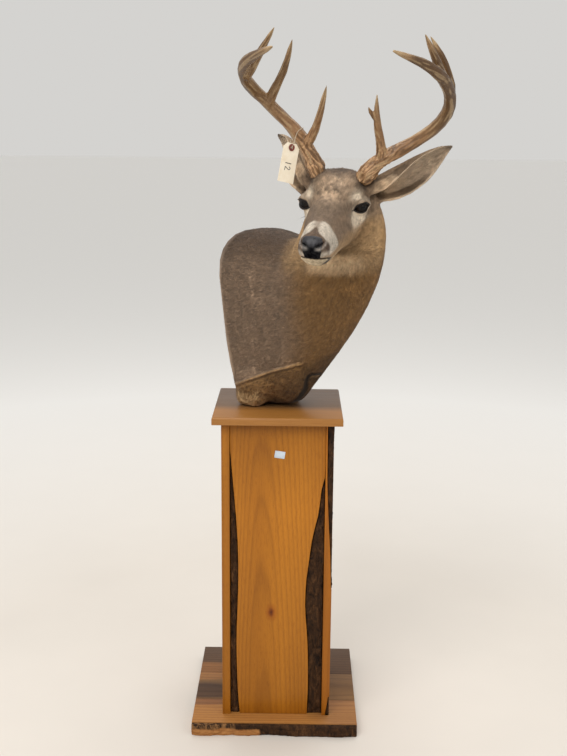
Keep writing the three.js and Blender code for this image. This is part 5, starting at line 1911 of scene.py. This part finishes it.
@dataclass
class Antler:
    """One antler grown from its solids into a single grooved and pearled bone."""

    side: str
    voxel: float = 0.0015
    groove: float = 0.9
    ridge: float = 1.3
    red_brown: Colour = (0.240, 0.112, 0.044)
    crest: Colour = (0.560, 0.345, 0.190)
    tan: Colour = (0.285, 0.178, 0.092)
    # olive serves the beams' mottle and the painted shade on the bends.
    olive: Colour = (0.085, 0.042, 0.013)
    shadow: Colour = (0.105, 0.052, 0.020)
    ivory: Colour = (0.450, 0.330, 0.195)

    @property
    def nodes(self) -> list[str]:
        """Names of the antler's solids."""
        parts = ("base", "middle", "upper", "tip", "brow_tine", "second_tine", "third_tine")
        return [f"antler_{self.side}_{part}" for part in parts]

    def build(self) -> bpy.types.Object:
        """Fuses, smooths, grooves and paints the antler."""
        bone = fused(copied_solids(f"bone_{self.side}", self.nodes, 0.35 * MM), self.voxel)
        edges = read_edges(bone.data)
        points = read_vectors(bone.data)
        share = np.full(len(points), 0.6)
        points = relax(points, edges, share, 30, keep=True)
        points = relax(points, edges, share, 5)
        write_points(bone.data, points)
        fine, broad, thick = self.grain(points / MM)
        local = HEAD.local(points)
        base = np.linalg.norm(local - self.foot(local), axis=1)
        normals = read_vectors(bone.data, "normal")
        slim = ramp(thick, 2.5, 8.0)
        depth = -self.groove * (0.35 + 0.5 * ramp(base, 220, 60)) * ramp(fine, 0.0, -1.3) * slim
        ridges = ramp(broad, -0.5, 0.7)
        depth += self.ridge * (ridges - 0.35) * ramp(base, 105, 40)
        depth += 0.6 * ramp(Grain(SEED + 51).at(points, 0.006), 0.2, 0.8) * ramp(base, 120, 40)
        depth += 0.7 * ramp(Grain(SEED + 54).at(points, 0.0034), 0.25, 0.7) * ramp(base, 130, 50)
        depth += 0.6 * Grain(SEED + 52).at(points, 0.026) * slim
        write_points(bone.data, points + normals * (depth - 0.2 - 0.25 * slim)[:, None] * MM)
        self.colour(bone, points, normals, (fine, ridges, thick, base))
        return bone

    def foot(self, local: np.ndarray) -> np.ndarray:
        """The middle of the antler's foot in the head's frame."""
        low = local[:, 2] < np.percentile(local[:, 2], 3)
        return local[low].mean(0)

    def grain(self, points: np.ndarray) -> tuple[np.ndarray, np.ndarray, np.ndarray]:
        """Streaks that run along the bone, and its half-thickness.

        Args:
            points: rows in millimetres.

        Returns:
            Fine streaks and broad ridges with a spread of about 1, and half-thicknesses in millimetres.
        """
        total = np.zeros((3, len(points)))
        weights = np.zeros(len(points))
        for node in self.nodes:
            along, across, radius, share = BoneLine(node).place(points)
            slide = along[:, None]
            fine = Grain(SEED + 5).at(across + slide / 16, 3.3)
            fine += 0.7 * Grain(SEED + 6).at(across + slide / 12, 6.0)
            broad = Grain(SEED + 50).at(across + slide / 9, 2.1)
            broad += 0.7 * Grain(SEED + 53).at(across + slide / 4, 1.8)
            total += share * np.stack([fine, broad, radius])
            weights += share
        fine, broad, thick = total / weights
        return (fine - fine.mean()) / fine.std(), (broad - broad.mean()) / broad.std(), thick

    def colour(self, bone: bpy.types.Object, points: np.ndarray, normals: np.ndarray,
               measures: tuple[np.ndarray, ...]) -> None:
        """Paints the bone from its ridged foot to its rubbed points, with painted shade on the outer and under
        side of the bends.

        Args:
            bone: the antler.
            points: its rows before the grooves.
            normals: which way the bone faces there.
            measures: streaks, ridges, half-thickness and distance from the foot.
        """
        fine, ridges, thick, base = measures
        cloud = Grain(SEED + 7).at(points, 0.030)
        side = 1.0 if self.side == "left" else -1.0
        outward = (normals @ HEAD.rows[1]) * side - 0.5 * normals[:, 2]
        colours = np.tile(np.array(self.tan), (len(points), 1))
        colours = mix(colours, self.red_brown, ramp(base, 240, 90) * 0.6)
        # Painted shade on the outer and under side of the bends, more on the left antler.
        bend_shade = ramp(base, 150, 240) * ramp(thick, 6.0, 8.5) * (1.0 if self.side == "left" else 0.75)
        colours = mix(colours, self.olive, bend_shade * (0.30 + 0.65 * ramp(outward, -0.6, 0.5)))
        colours = mix(colours, self.olive, ramp(base, 110, 200) * np.clip(0.15 + 0.3 * cloud, 0, 1))
        colours = mix(colours, self.crest, ramp(base, 118, 60) * (0.35 + 0.45 * ridges))
        colours = mix(colours, self.shadow, ramp(base, 118, 60) * (1 - ridges) * 0.48)
        beads = ramp(Grain(SEED + 54).at(points, 0.0034), 0.30, 0.75) * ramp(base, 130, 50)
        colours = mix(colours, np.array(self.crest) * 1.25, beads * 0.6)
        colours = mix(colours, self.ivory, ramp(thick, 6.2, 3.2) * 0.9)
        colours = mix(colours, self.ivory, ramp(fine, 0.4, 1.6) * 0.55)
        colours = mix(colours, self.shadow, ramp(fine, 0.0, -1.3) * (0.58 + 0.25 * ramp(base, 220, 60)))
        paint(bone.data, colours)


# ---------------------------------------------------------------------- pedestal
@dataclass(frozen=True)
class Board:
    """One board of the pedestal: its solid, its finish and how much its edges are eased."""

    node: str
    slot: str
    finish: WoodFinish | PaperFinish
    ease: float = 0.8

    def build(self) -> bpy.types.Object:
        """Copies the solid, merges it and eases its edges."""
        board = bmesh.new()
        board.from_mesh(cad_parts[self.node].data)
        bmesh.ops.remove_doubles(board, verts=board.verts, dist=MERGE)
        bmesh.ops.recalc_face_normals(board, faces=board.faces)
        bmesh.ops.dissolve_limit(board, angle_limit=math.radians(0.6), verts=board.verts, edges=board.edges)
        sharp = [e for e in board.edges if len(e.link_faces) == 2 and e.calc_face_angle() > math.radians(35)]
        bmesh.ops.bevel(board, geom=sharp, offset=self.ease * MM, offset_type="OFFSET", segments=2,
                        profile=0.5, affect="EDGES", material=-1, clamp_overlap=True)
        bmesh.ops.triangulate(board, faces=[f for f in board.faces if len(f.verts) > 4])
        mesh = bpy.data.meshes.new(f"{self.node}_board")
        board.to_mesh(mesh)
        board.free()
        thing = new_object(f"{self.node}_board", mesh)
        dress(thing, [self.node], self.finish.material())
        mesh.set_sharp_from_angle(angle=math.radians(28))
        return thing


@dataclass(frozen=True)
class BarkStrip:
    """Bark along a board's natural edge: plates and cracks cut into its solid."""

    node: str
    voxel: float = 0.0022
    depth: float = 3.8

    def build(self, material: bpy.types.Material) -> bpy.types.Object:
        """Rebuilds the solid with a rough face."""
        bark = fused(copied_solids(f"{self.node}_rough", [self.node]), self.voxel)
        points = read_vectors(bark.data)
        points = relax(points, read_edges(bark.data), np.full(len(points), 0.5), 3)
        write_points(bark.data, points)
        normals = read_vectors(bark.data, "normal")
        tall = points * (1.0, 1.0, 0.40) if "live" not in self.node else points * (0.4, 1.0, 1.0)
        plates = 0.6 * Grain(SEED + 60).at(tall, 0.008) + 0.4 * Grain(SEED + 61).at(tall, 0.0035)
        cracks = hill(Grain(SEED + 62).at(tall, 0.011), 0.0, 0.10)
        out = ramp(-normals[:, 1], -0.05, 0.35)
        if "side" in self.node:
            out = np.maximum(out, ramp(normals[:, 0], 0.5, 0.9))
        depth = -self.depth * (0.45 * (0.5 - plates) + 0.6 * cracks) * out
        write_points(bark.data, points + normals * np.minimum(depth, 0.0)[:, None] * MM)
        return dress(bark, [self.node], material)


@dataclass
class Pedestal:
    """The wooden pedestal under the mount."""

    honey: Colour = (0.400, 0.150, 0.010)
    honey_dark: Colour = (0.210, 0.070, 0.004)

    def build(self) -> None:
        """Builds every board, the bark and the blank sticker."""
        for board in self.boards():
            board.build()
        bark = BarkFinish().material()
        for node in ("side_bark", "side_bark_foot", "slab_bark_left", "slab_bark_right"):
            BarkStrip(node).build(bark)
        BarkStrip("base_live_edge").build(BarkFinish("live edge", bare=(0.400, 0.180, 0.058)).material())
        self.sticker()

    def boards(self) -> list[Board]:
        """All boards with their own tones."""
        dark = self.honey_dark
        column = {
            # The front slab's shade stops paint sheen round its middle height and shade near its top.
            "column_front_slab": WoodFinish("slab wood", self.honey, dark, heart=(-0.005, -0.06, 0.133),
                                            rings=300.0, contrast=0.22, knot=(-0.010, -0.140, 0.302),
                                            shade=((0.05, 0.95), (0.40, 1.10), (0.56, 1.18), (0.76, 0.84))),
        }
        panels = (("side_left", "left side wood", (0.36, 0.135, 0.010), (-0.3, 0.1, 0.4)),
                  ("side_right", "right side wood", (0.38, 0.13, 0.008), (0.3, 0.1, 0.3)),
                  ("back_panel", "back panel wood", (0.36, 0.14, 0.012), (0.1, 0.3, 0.4)))
        for node, name, light, heart in panels:
            column[f"column_{node}"] = WoodFinish(name, light, dark, heart=heart, rings=220.0, contrast=0.2)
        planks = {
            "base_plank_1": ((0.100, 0.052, 0.026), (0.040, 0.019, 0.009), 0.4, (
                ((-0.19, 0.080, 0.03), (0.10, 0.030, 0.1), (2.4, 2.1, 1.5)),)),
            "base_plank_2": ((0.205, 0.108, 0.040), (0.085, 0.042, 0.016), -0.1, (
                ((-0.19, 0.040, 0.03), (0.10, 0.022, 0.1), (1.7, 1.5, 1.2)),
                ((-0.18, -0.035, 0.03), (0.11, 0.040, 0.1), (0.45, 0.45, 0.65)))),
            "base_plank_3": ((0.430, 0.198, 0.054), (0.250, 0.105, 0.030), 0.25, (
                ((-0.19, -0.085, 0.03), (0.09, 0.020, 0.1), (0.6, 0.55, 0.65)),
                ((0.19, -0.13, 0.03), (0.10, 0.08, 0.1), (0.75, 0.75, 0.85)))),
        }
        top = WoodFinish("top board wood", (0.150, 0.080, 0.034), (0.060, 0.028, 0.011), Grained.ALONG_X,
                         (0.1, 0.2, 0.7), 200.0, 0.35, 0.10, 0.36, (0.330, 0.145, 0.034), -0.058, -0.102)
        back = WoodFinish("back board wood", (0.300, 0.200, 0.110), (0.150, 0.090, 0.045),
                          heart=(0.1, 0.3, 1.0), rings=170.0, contrast=0.18, coat=0.0, roughness=0.62)
        boards = [Board(node, "column_wood", finish) for node, finish in column.items()]
        for node, (early, late, heart, patches) in planks.items():
            finish = WoodFinish(f"{node} wood", early, late, Grained.ALONG_X, (heart, 0.0, -0.08),
                                250.0, 0.35, 0.05, 0.5, patches=patches)
            boards.append(Board(node, "board_wood", finish, 1.2))
        boards.append(Board("top_board", "board_wood", top, 1.0))
        boards.append(Board("back_board", "back_board_wood", back, 1.0))
        return boards

    def sticker(self) -> None:
        """A blank sticker with eased edges."""
        paper = PaperFinish("sticker paper", (0.56, 0.63, 0.71), (0.46, 0.51, 0.57))
        Board("blank_sticker", "sticker_paper", paper, 0.15).build()


# ---------------------------------------------------------------------- tag
@dataclass
class Tag:
    """Card tag with its fibre ring and number, hung on cotton twine."""

    centre: tuple = (0.0225, -0.195, 1.366)
    lean: float = 12.0
    turn: float = 36.0
    width: float = 41.0
    height: float = 83.0
    thickness: float = 0.6
    clip: float = 9.0
    ring: float = 7.5
    hole: float = 3.0
    ink: Colour = (0.030, 0.030, 0.034)

    def __post_init__(self) -> None:
        """Works out where the tag hangs."""
        turn, lean = math.radians(self.turn), math.radians(self.lean)
        turned = Matrix.Rotation(turn, 4, "Z") @ Matrix.Rotation(lean, 4, "Y")
        upright = Matrix.Rotation(math.pi / 2, 4, "X") @ Matrix.Scale(MM, 4)
        self.place = Matrix.Translation(self.centre) @ turned @ upright
        self.hole_up = self.height / 2 - self.ring - 1.5

    def build(self) -> None:
        """Makes card, ring, number and twine."""
        self.card()
        self.fibre_ring()
        self.number()
        self.twine()

    def placed(self, name: str, piece: bmesh.types.BMesh) -> bpy.types.Object:
        """Bends a piece with the card's slight curl and hangs it in its place."""
        for vert in piece.verts:
            vert.co.z += 1.4 * ((vert.co.y / self.height * 2) ** 2 - 0.3) * (0.4 + vert.co.x / self.width)
        piece.transform(self.place)
        bmesh.ops.recalc_face_normals(piece, faces=piece.faces)
        mesh = bpy.data.meshes.new(name)
        piece.to_mesh(mesh)
        piece.free()
        return new_object(name, mesh)

    def card(self) -> None:
        """The card, with two clipped corners and its hole."""
        card = bmesh.new()
        w, h, c = self.width / 2, self.height / 2, self.clip
        outline = [(-w, -h), (w, -h), (w, h - c), (w - c, h), (c - w, h), (-w, h - c)]
        corners = [card.verts.new((x, y, 0.0)) for x, y in outline]
        edges = [card.edges.new((corners[i - 1], corners[i])) for i in range(len(corners))]
        hole = bmesh.ops.create_circle(card, cap_ends=False, segments=20, radius=self.hole)["verts"]
        bmesh.ops.translate(card, verts=hole, vec=(0, self.hole_up, 0))
        rim = list({e for v in hole for e in v.link_edges})
        bmesh.ops.triangle_fill(card, edges=edges + rim, use_beauty=True)
        bmesh.ops.subdivide_edges(card, edges=[e for e in card.edges if e.calc_length() > 12], cuts=3)
        bmesh.ops.triangulate(card, faces=card.faces)
        bmesh.ops.solidify(card, geom=card.faces[:], thickness=self.thickness)
        bmesh.ops.translate(card, verts=card.verts, vec=(0, 0, self.thickness / 2))
        finish = PaperFinish("tag card", (0.930, 0.840, 0.680), (0.850, 0.740, 0.560))
        piece = self.placed("tag_card", card)
        dress(piece, ["tag"], finish.material())
        piece.data.set_sharp_from_angle(angle=math.radians(30))

    def fibre_ring(self) -> None:
        """The pressed fibre ring round the hole."""
        ring = bmesh.new()
        for radius in (self.ring, self.hole):
            bmesh.ops.create_circle(ring, cap_ends=False, segments=32, radius=radius)
        bmesh.ops.bridge_loops(ring, edges=ring.edges[:])
        bmesh.ops.solidify(ring, geom=ring.faces[:], thickness=0.5)
        bmesh.ops.translate(ring, verts=ring.verts, vec=(0, self.hole_up, self.thickness + 0.55))
        finish = PaperFinish("fibre ring", (0.230, 0.058, 0.042), (0.150, 0.036, 0.028), 0.6)
        piece = self.placed("fibre_ring", ring)
        dress(piece, ["tag_ring"], finish.material())
        piece.data.set_sharp_from_angle(angle=math.radians(30))

    def number(self) -> None:
        """The plain handwritten number 12, turned to read down the card."""
        one = [(-4.5, 8), (-4.7, -8)]
        two = [(2, 4), (4, 7.4), (7.6, 7.2), (8.6, 3.5), (6, -1.5), (2.4, -7.2), (6.4, -6.4), (11, -7.4)]
        ink = bmesh.new()
        for stroke in (one, two):
            curve = bpy.data.curves.new("stroke", "CURVE")
            curve.dimensions = "3D"
            curve.bevel_depth = 0.75
            curve.bevel_resolution = 1
            curve.resolution_u = 6
            curve.use_fill_caps = True
            line = curve.splines.new("NURBS")
            line.points.add(len(stroke) - 1)
            for point, (x, y) in zip(line.points, stroke):
                point.co = (y * 0.95, -x, 0.0, 1.0)
            line.order_u = 3
            line.use_endpoint_u = True
            drawn = bpy.data.objects.new("stroke", curve)
            mesh = bpy.data.meshes.new_from_object(drawn)
            ink.from_mesh(mesh)
            bpy.data.objects.remove(drawn)
            bpy.data.meshes.remove(mesh)
        for vert in ink.verts:
            vert.co = (vert.co.x - 1.0, vert.co.y - 5.5, self.thickness + vert.co.z * 0.25)
        piece = self.placed("tag_number", ink)
        finish = PaperFinish("ink", self.ink, tuple(c * 1.6 for c in self.ink), 0.5)
        dress(piece, [], finish.material())

    def twine(self) -> None:
        """The twine, rounded from its solid."""
        twine = copied_solids("twine", ["tag_string"])
        smooth = twine.modifiers.new("round", "SUBSURF")
        smooth.levels = 2
        smooth.render_levels = 2
        dress(finished(twine), ["tag_string"], TwineFinish().material())


# ---------------------------------------------------------------------- studio
@dataclass
class Studio:
    """Camera, pale floor and soft light."""

    place: tuple = (0.0415, -2.4398, 1.4271)
    pan: float = 0.662
    pitch: float = 76.693
    roll: float = 0.492
    lens: float = 49.27
    wall: Colour = (0.66, 0.65, 0.63)
    ambient: float = 1.0
    floor: Colour = (0.70, 0.655, 0.60)
    # far is the floor's colour far off, lighter as painted light.
    far: Colour = (0.97, 0.96, 0.94)

    def build(self) -> None:
        """Sets up the studio."""
        self.camera()
        self.ground()
        self.light()

    def camera(self) -> None:
        """Stands the camera in front of the mount, at a little over head height."""
        camera = bpy.data.cameras.new("camera")
        camera.sensor_fit = "VERTICAL"
        camera.sensor_height = 36.0
        camera.lens = self.lens
        camera.clip_start = 0.05
        thing = bpy.data.objects.new("camera", camera)
        bpy.context.scene.collection.objects.link(thing)
        thing.matrix_world = (Matrix.Translation(self.place) @ Matrix.Rotation(math.radians(self.pan), 4, "Z")
                              @ Matrix.Rotation(math.radians(self.pitch), 4, "X")
                              @ Matrix.Rotation(math.radians(self.roll), 4, "Z"))
        bpy.context.scene.camera = thing

    def ground(self) -> None:
        """A plain pale floor, painted lighter far off as painted light where the lamps fall off."""
        floor = bmesh.new()
        bmesh.ops.create_grid(floor, x_segments=1, y_segments=1, size=60.0)
        mesh = bpy.data.meshes.new("floor")
        floor.to_mesh(mesh)
        floor.free()
        s = Shader("floor", 0.6, 0.3)
        cloud = s.noise(s.place, 3.0, 3.0)
        pale = s.ramp(cloud, [(0.3, tuple(0.97 * c for c in self.floor)), (0.7, self.floor)])
        away = s.node("ShaderNodeVectorMath", {"operation": "LENGTH"})
        s.put(away.inputs[0], s.place)
        # Painted light: the floor grows lighter far off, where the lamps' light falls off, so that it meets the
        # grey surroundings.
        pale = s.mix(pale, self.far, s.grey(away.outputs[1], 0.9, 3.2))
        mesh.materials.append(s.finish(pale))
        new_object("floor", mesh)

    def light(self) -> None:
        """Grey surroundings and three large soft lamps overhead."""
        scene = bpy.context.scene
        scene.view_settings.view_transform = "Standard"
        world = bpy.data.worlds.new("surroundings")
        world.use_nodes = True
        world.node_tree.nodes["Background"].inputs[0].default_value = (*self.wall, 1.0)
        world.node_tree.nodes["Background"].inputs[1].default_value = self.ambient
        scene.world = world
        self.lamp("key", (-1.1, -2.3, 3.1), (0.0, 0.0, 1.0), 2.2, 70.0)
        self.lamp("fill", (2.2, -1.8, 2.2), (0.05, -0.1, 1.0), 2.0, 14.0)
        self.lamp("top", (0.2, 0.9, 3.4), (0.0, 0.0, 1.0), 2.4, 45.0)

    @staticmethod
    def lamp(name: str, place: tuple, target: tuple, size: float, power: float) -> None:
        """Hangs one square lamp that faces a point."""
        light = bpy.data.lights.new(name, "AREA")
        light.size = size
        light.energy = power
        light.color = (1.0, 0.975, 0.94)
        thing = bpy.data.objects.new(name, light)
        bpy.context.scene.collection.objects.link(thing)
        aim = Vector(target) - Vector(place)
        thing.matrix_world = Matrix.Translation(place) @ aim.to_track_quat("-Z", "Y").to_matrix().to_4x4()


# ---------------------------------------------------------------------- the whole
@dataclass
class Mount:
    """The shoulder mount above the pedestal: hide, nose, eyes, coat and antlers."""

    def build(self) -> None:
        """Builds all of it."""
        hide = Skin()
        skin = hide.build()
        nose = self.nose(skin)
        hide.lighten(skin)
        dress(skin, FLESH, FurFinish("skin", 0.78, 0.08, 0.2, 0.35).material())
        dress(nose, [], NoseFinish().material())
        glass = EyeFinish().material()
        for eye in EYES.values():
            node = "eye_left" if eye.side > 0 else "eye_right"
            dress(Eyeball(eye).build(), [node], glass)
        coat = Coat(skin)
        coat.dress_all(FurFinish("coat").material())
        stiff = Shader("stiff hair", 0.4)
        dress(Hairs().build(coat), [], stiff.finish(stiff.painted()))
        bone = AntlerFinish().material()
        for side in ("right", "left"):
            antler = Antler(side)
            dress(antler.build(), antler.nodes, bone)

    @staticmethod
    def nose(skin: bpy.types.Object) -> bpy.types.Object:
        """Lifts the bare nose off the skin as a thin moulded shell whose border runs under the hair.

        Args:
            skin: the finished skin.

        Returns:
            The nose.
        """
        shell = bmesh.new()
        shell.from_mesh(skin.data)
        shell.verts.ensure_lookup_table()
        rows = np.array([v.co for v in shell.verts], float)
        share = Markings().nose_share(HEAD.local(rows))
        spare = [f for f in shell.faces if max(share[v.index] for v in f.verts) < 0.3]
        bmesh.ops.delete(shell, geom=spare, context="FACES")
        shell.normal_update()
        grain = Grain(SEED + 30)
        for vert in shell.verts:
            own = Markings().nose_share(HEAD.local(np.array([vert.co]))[:1])[0]
            pebble = grain.at(np.array([vert.co]), 0.0021)[0] * 0.16
            vert.co += vert.normal * ((-0.9 + 1.35 * own) + pebble) * MM
        bmesh.ops.solidify(shell, geom=shell.faces[:], thickness=0.8 * MM)
        bmesh.ops.recalc_face_normals(shell, faces=shell.faces)
        mesh = bpy.data.meshes.new("nose_leather")
        shell.to_mesh(mesh)
        shell.free()
        return new_object("nose_leather", mesh)


def main() -> None:
    """Builds the studio, the pedestal, the mount and its tag."""
    logging.basicConfig(level=logging.INFO)
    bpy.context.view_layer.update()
    Studio().build()
    Pedestal().build()
    Mount().build()
    Tag().build()


if __name__ == "__main__":
    main()
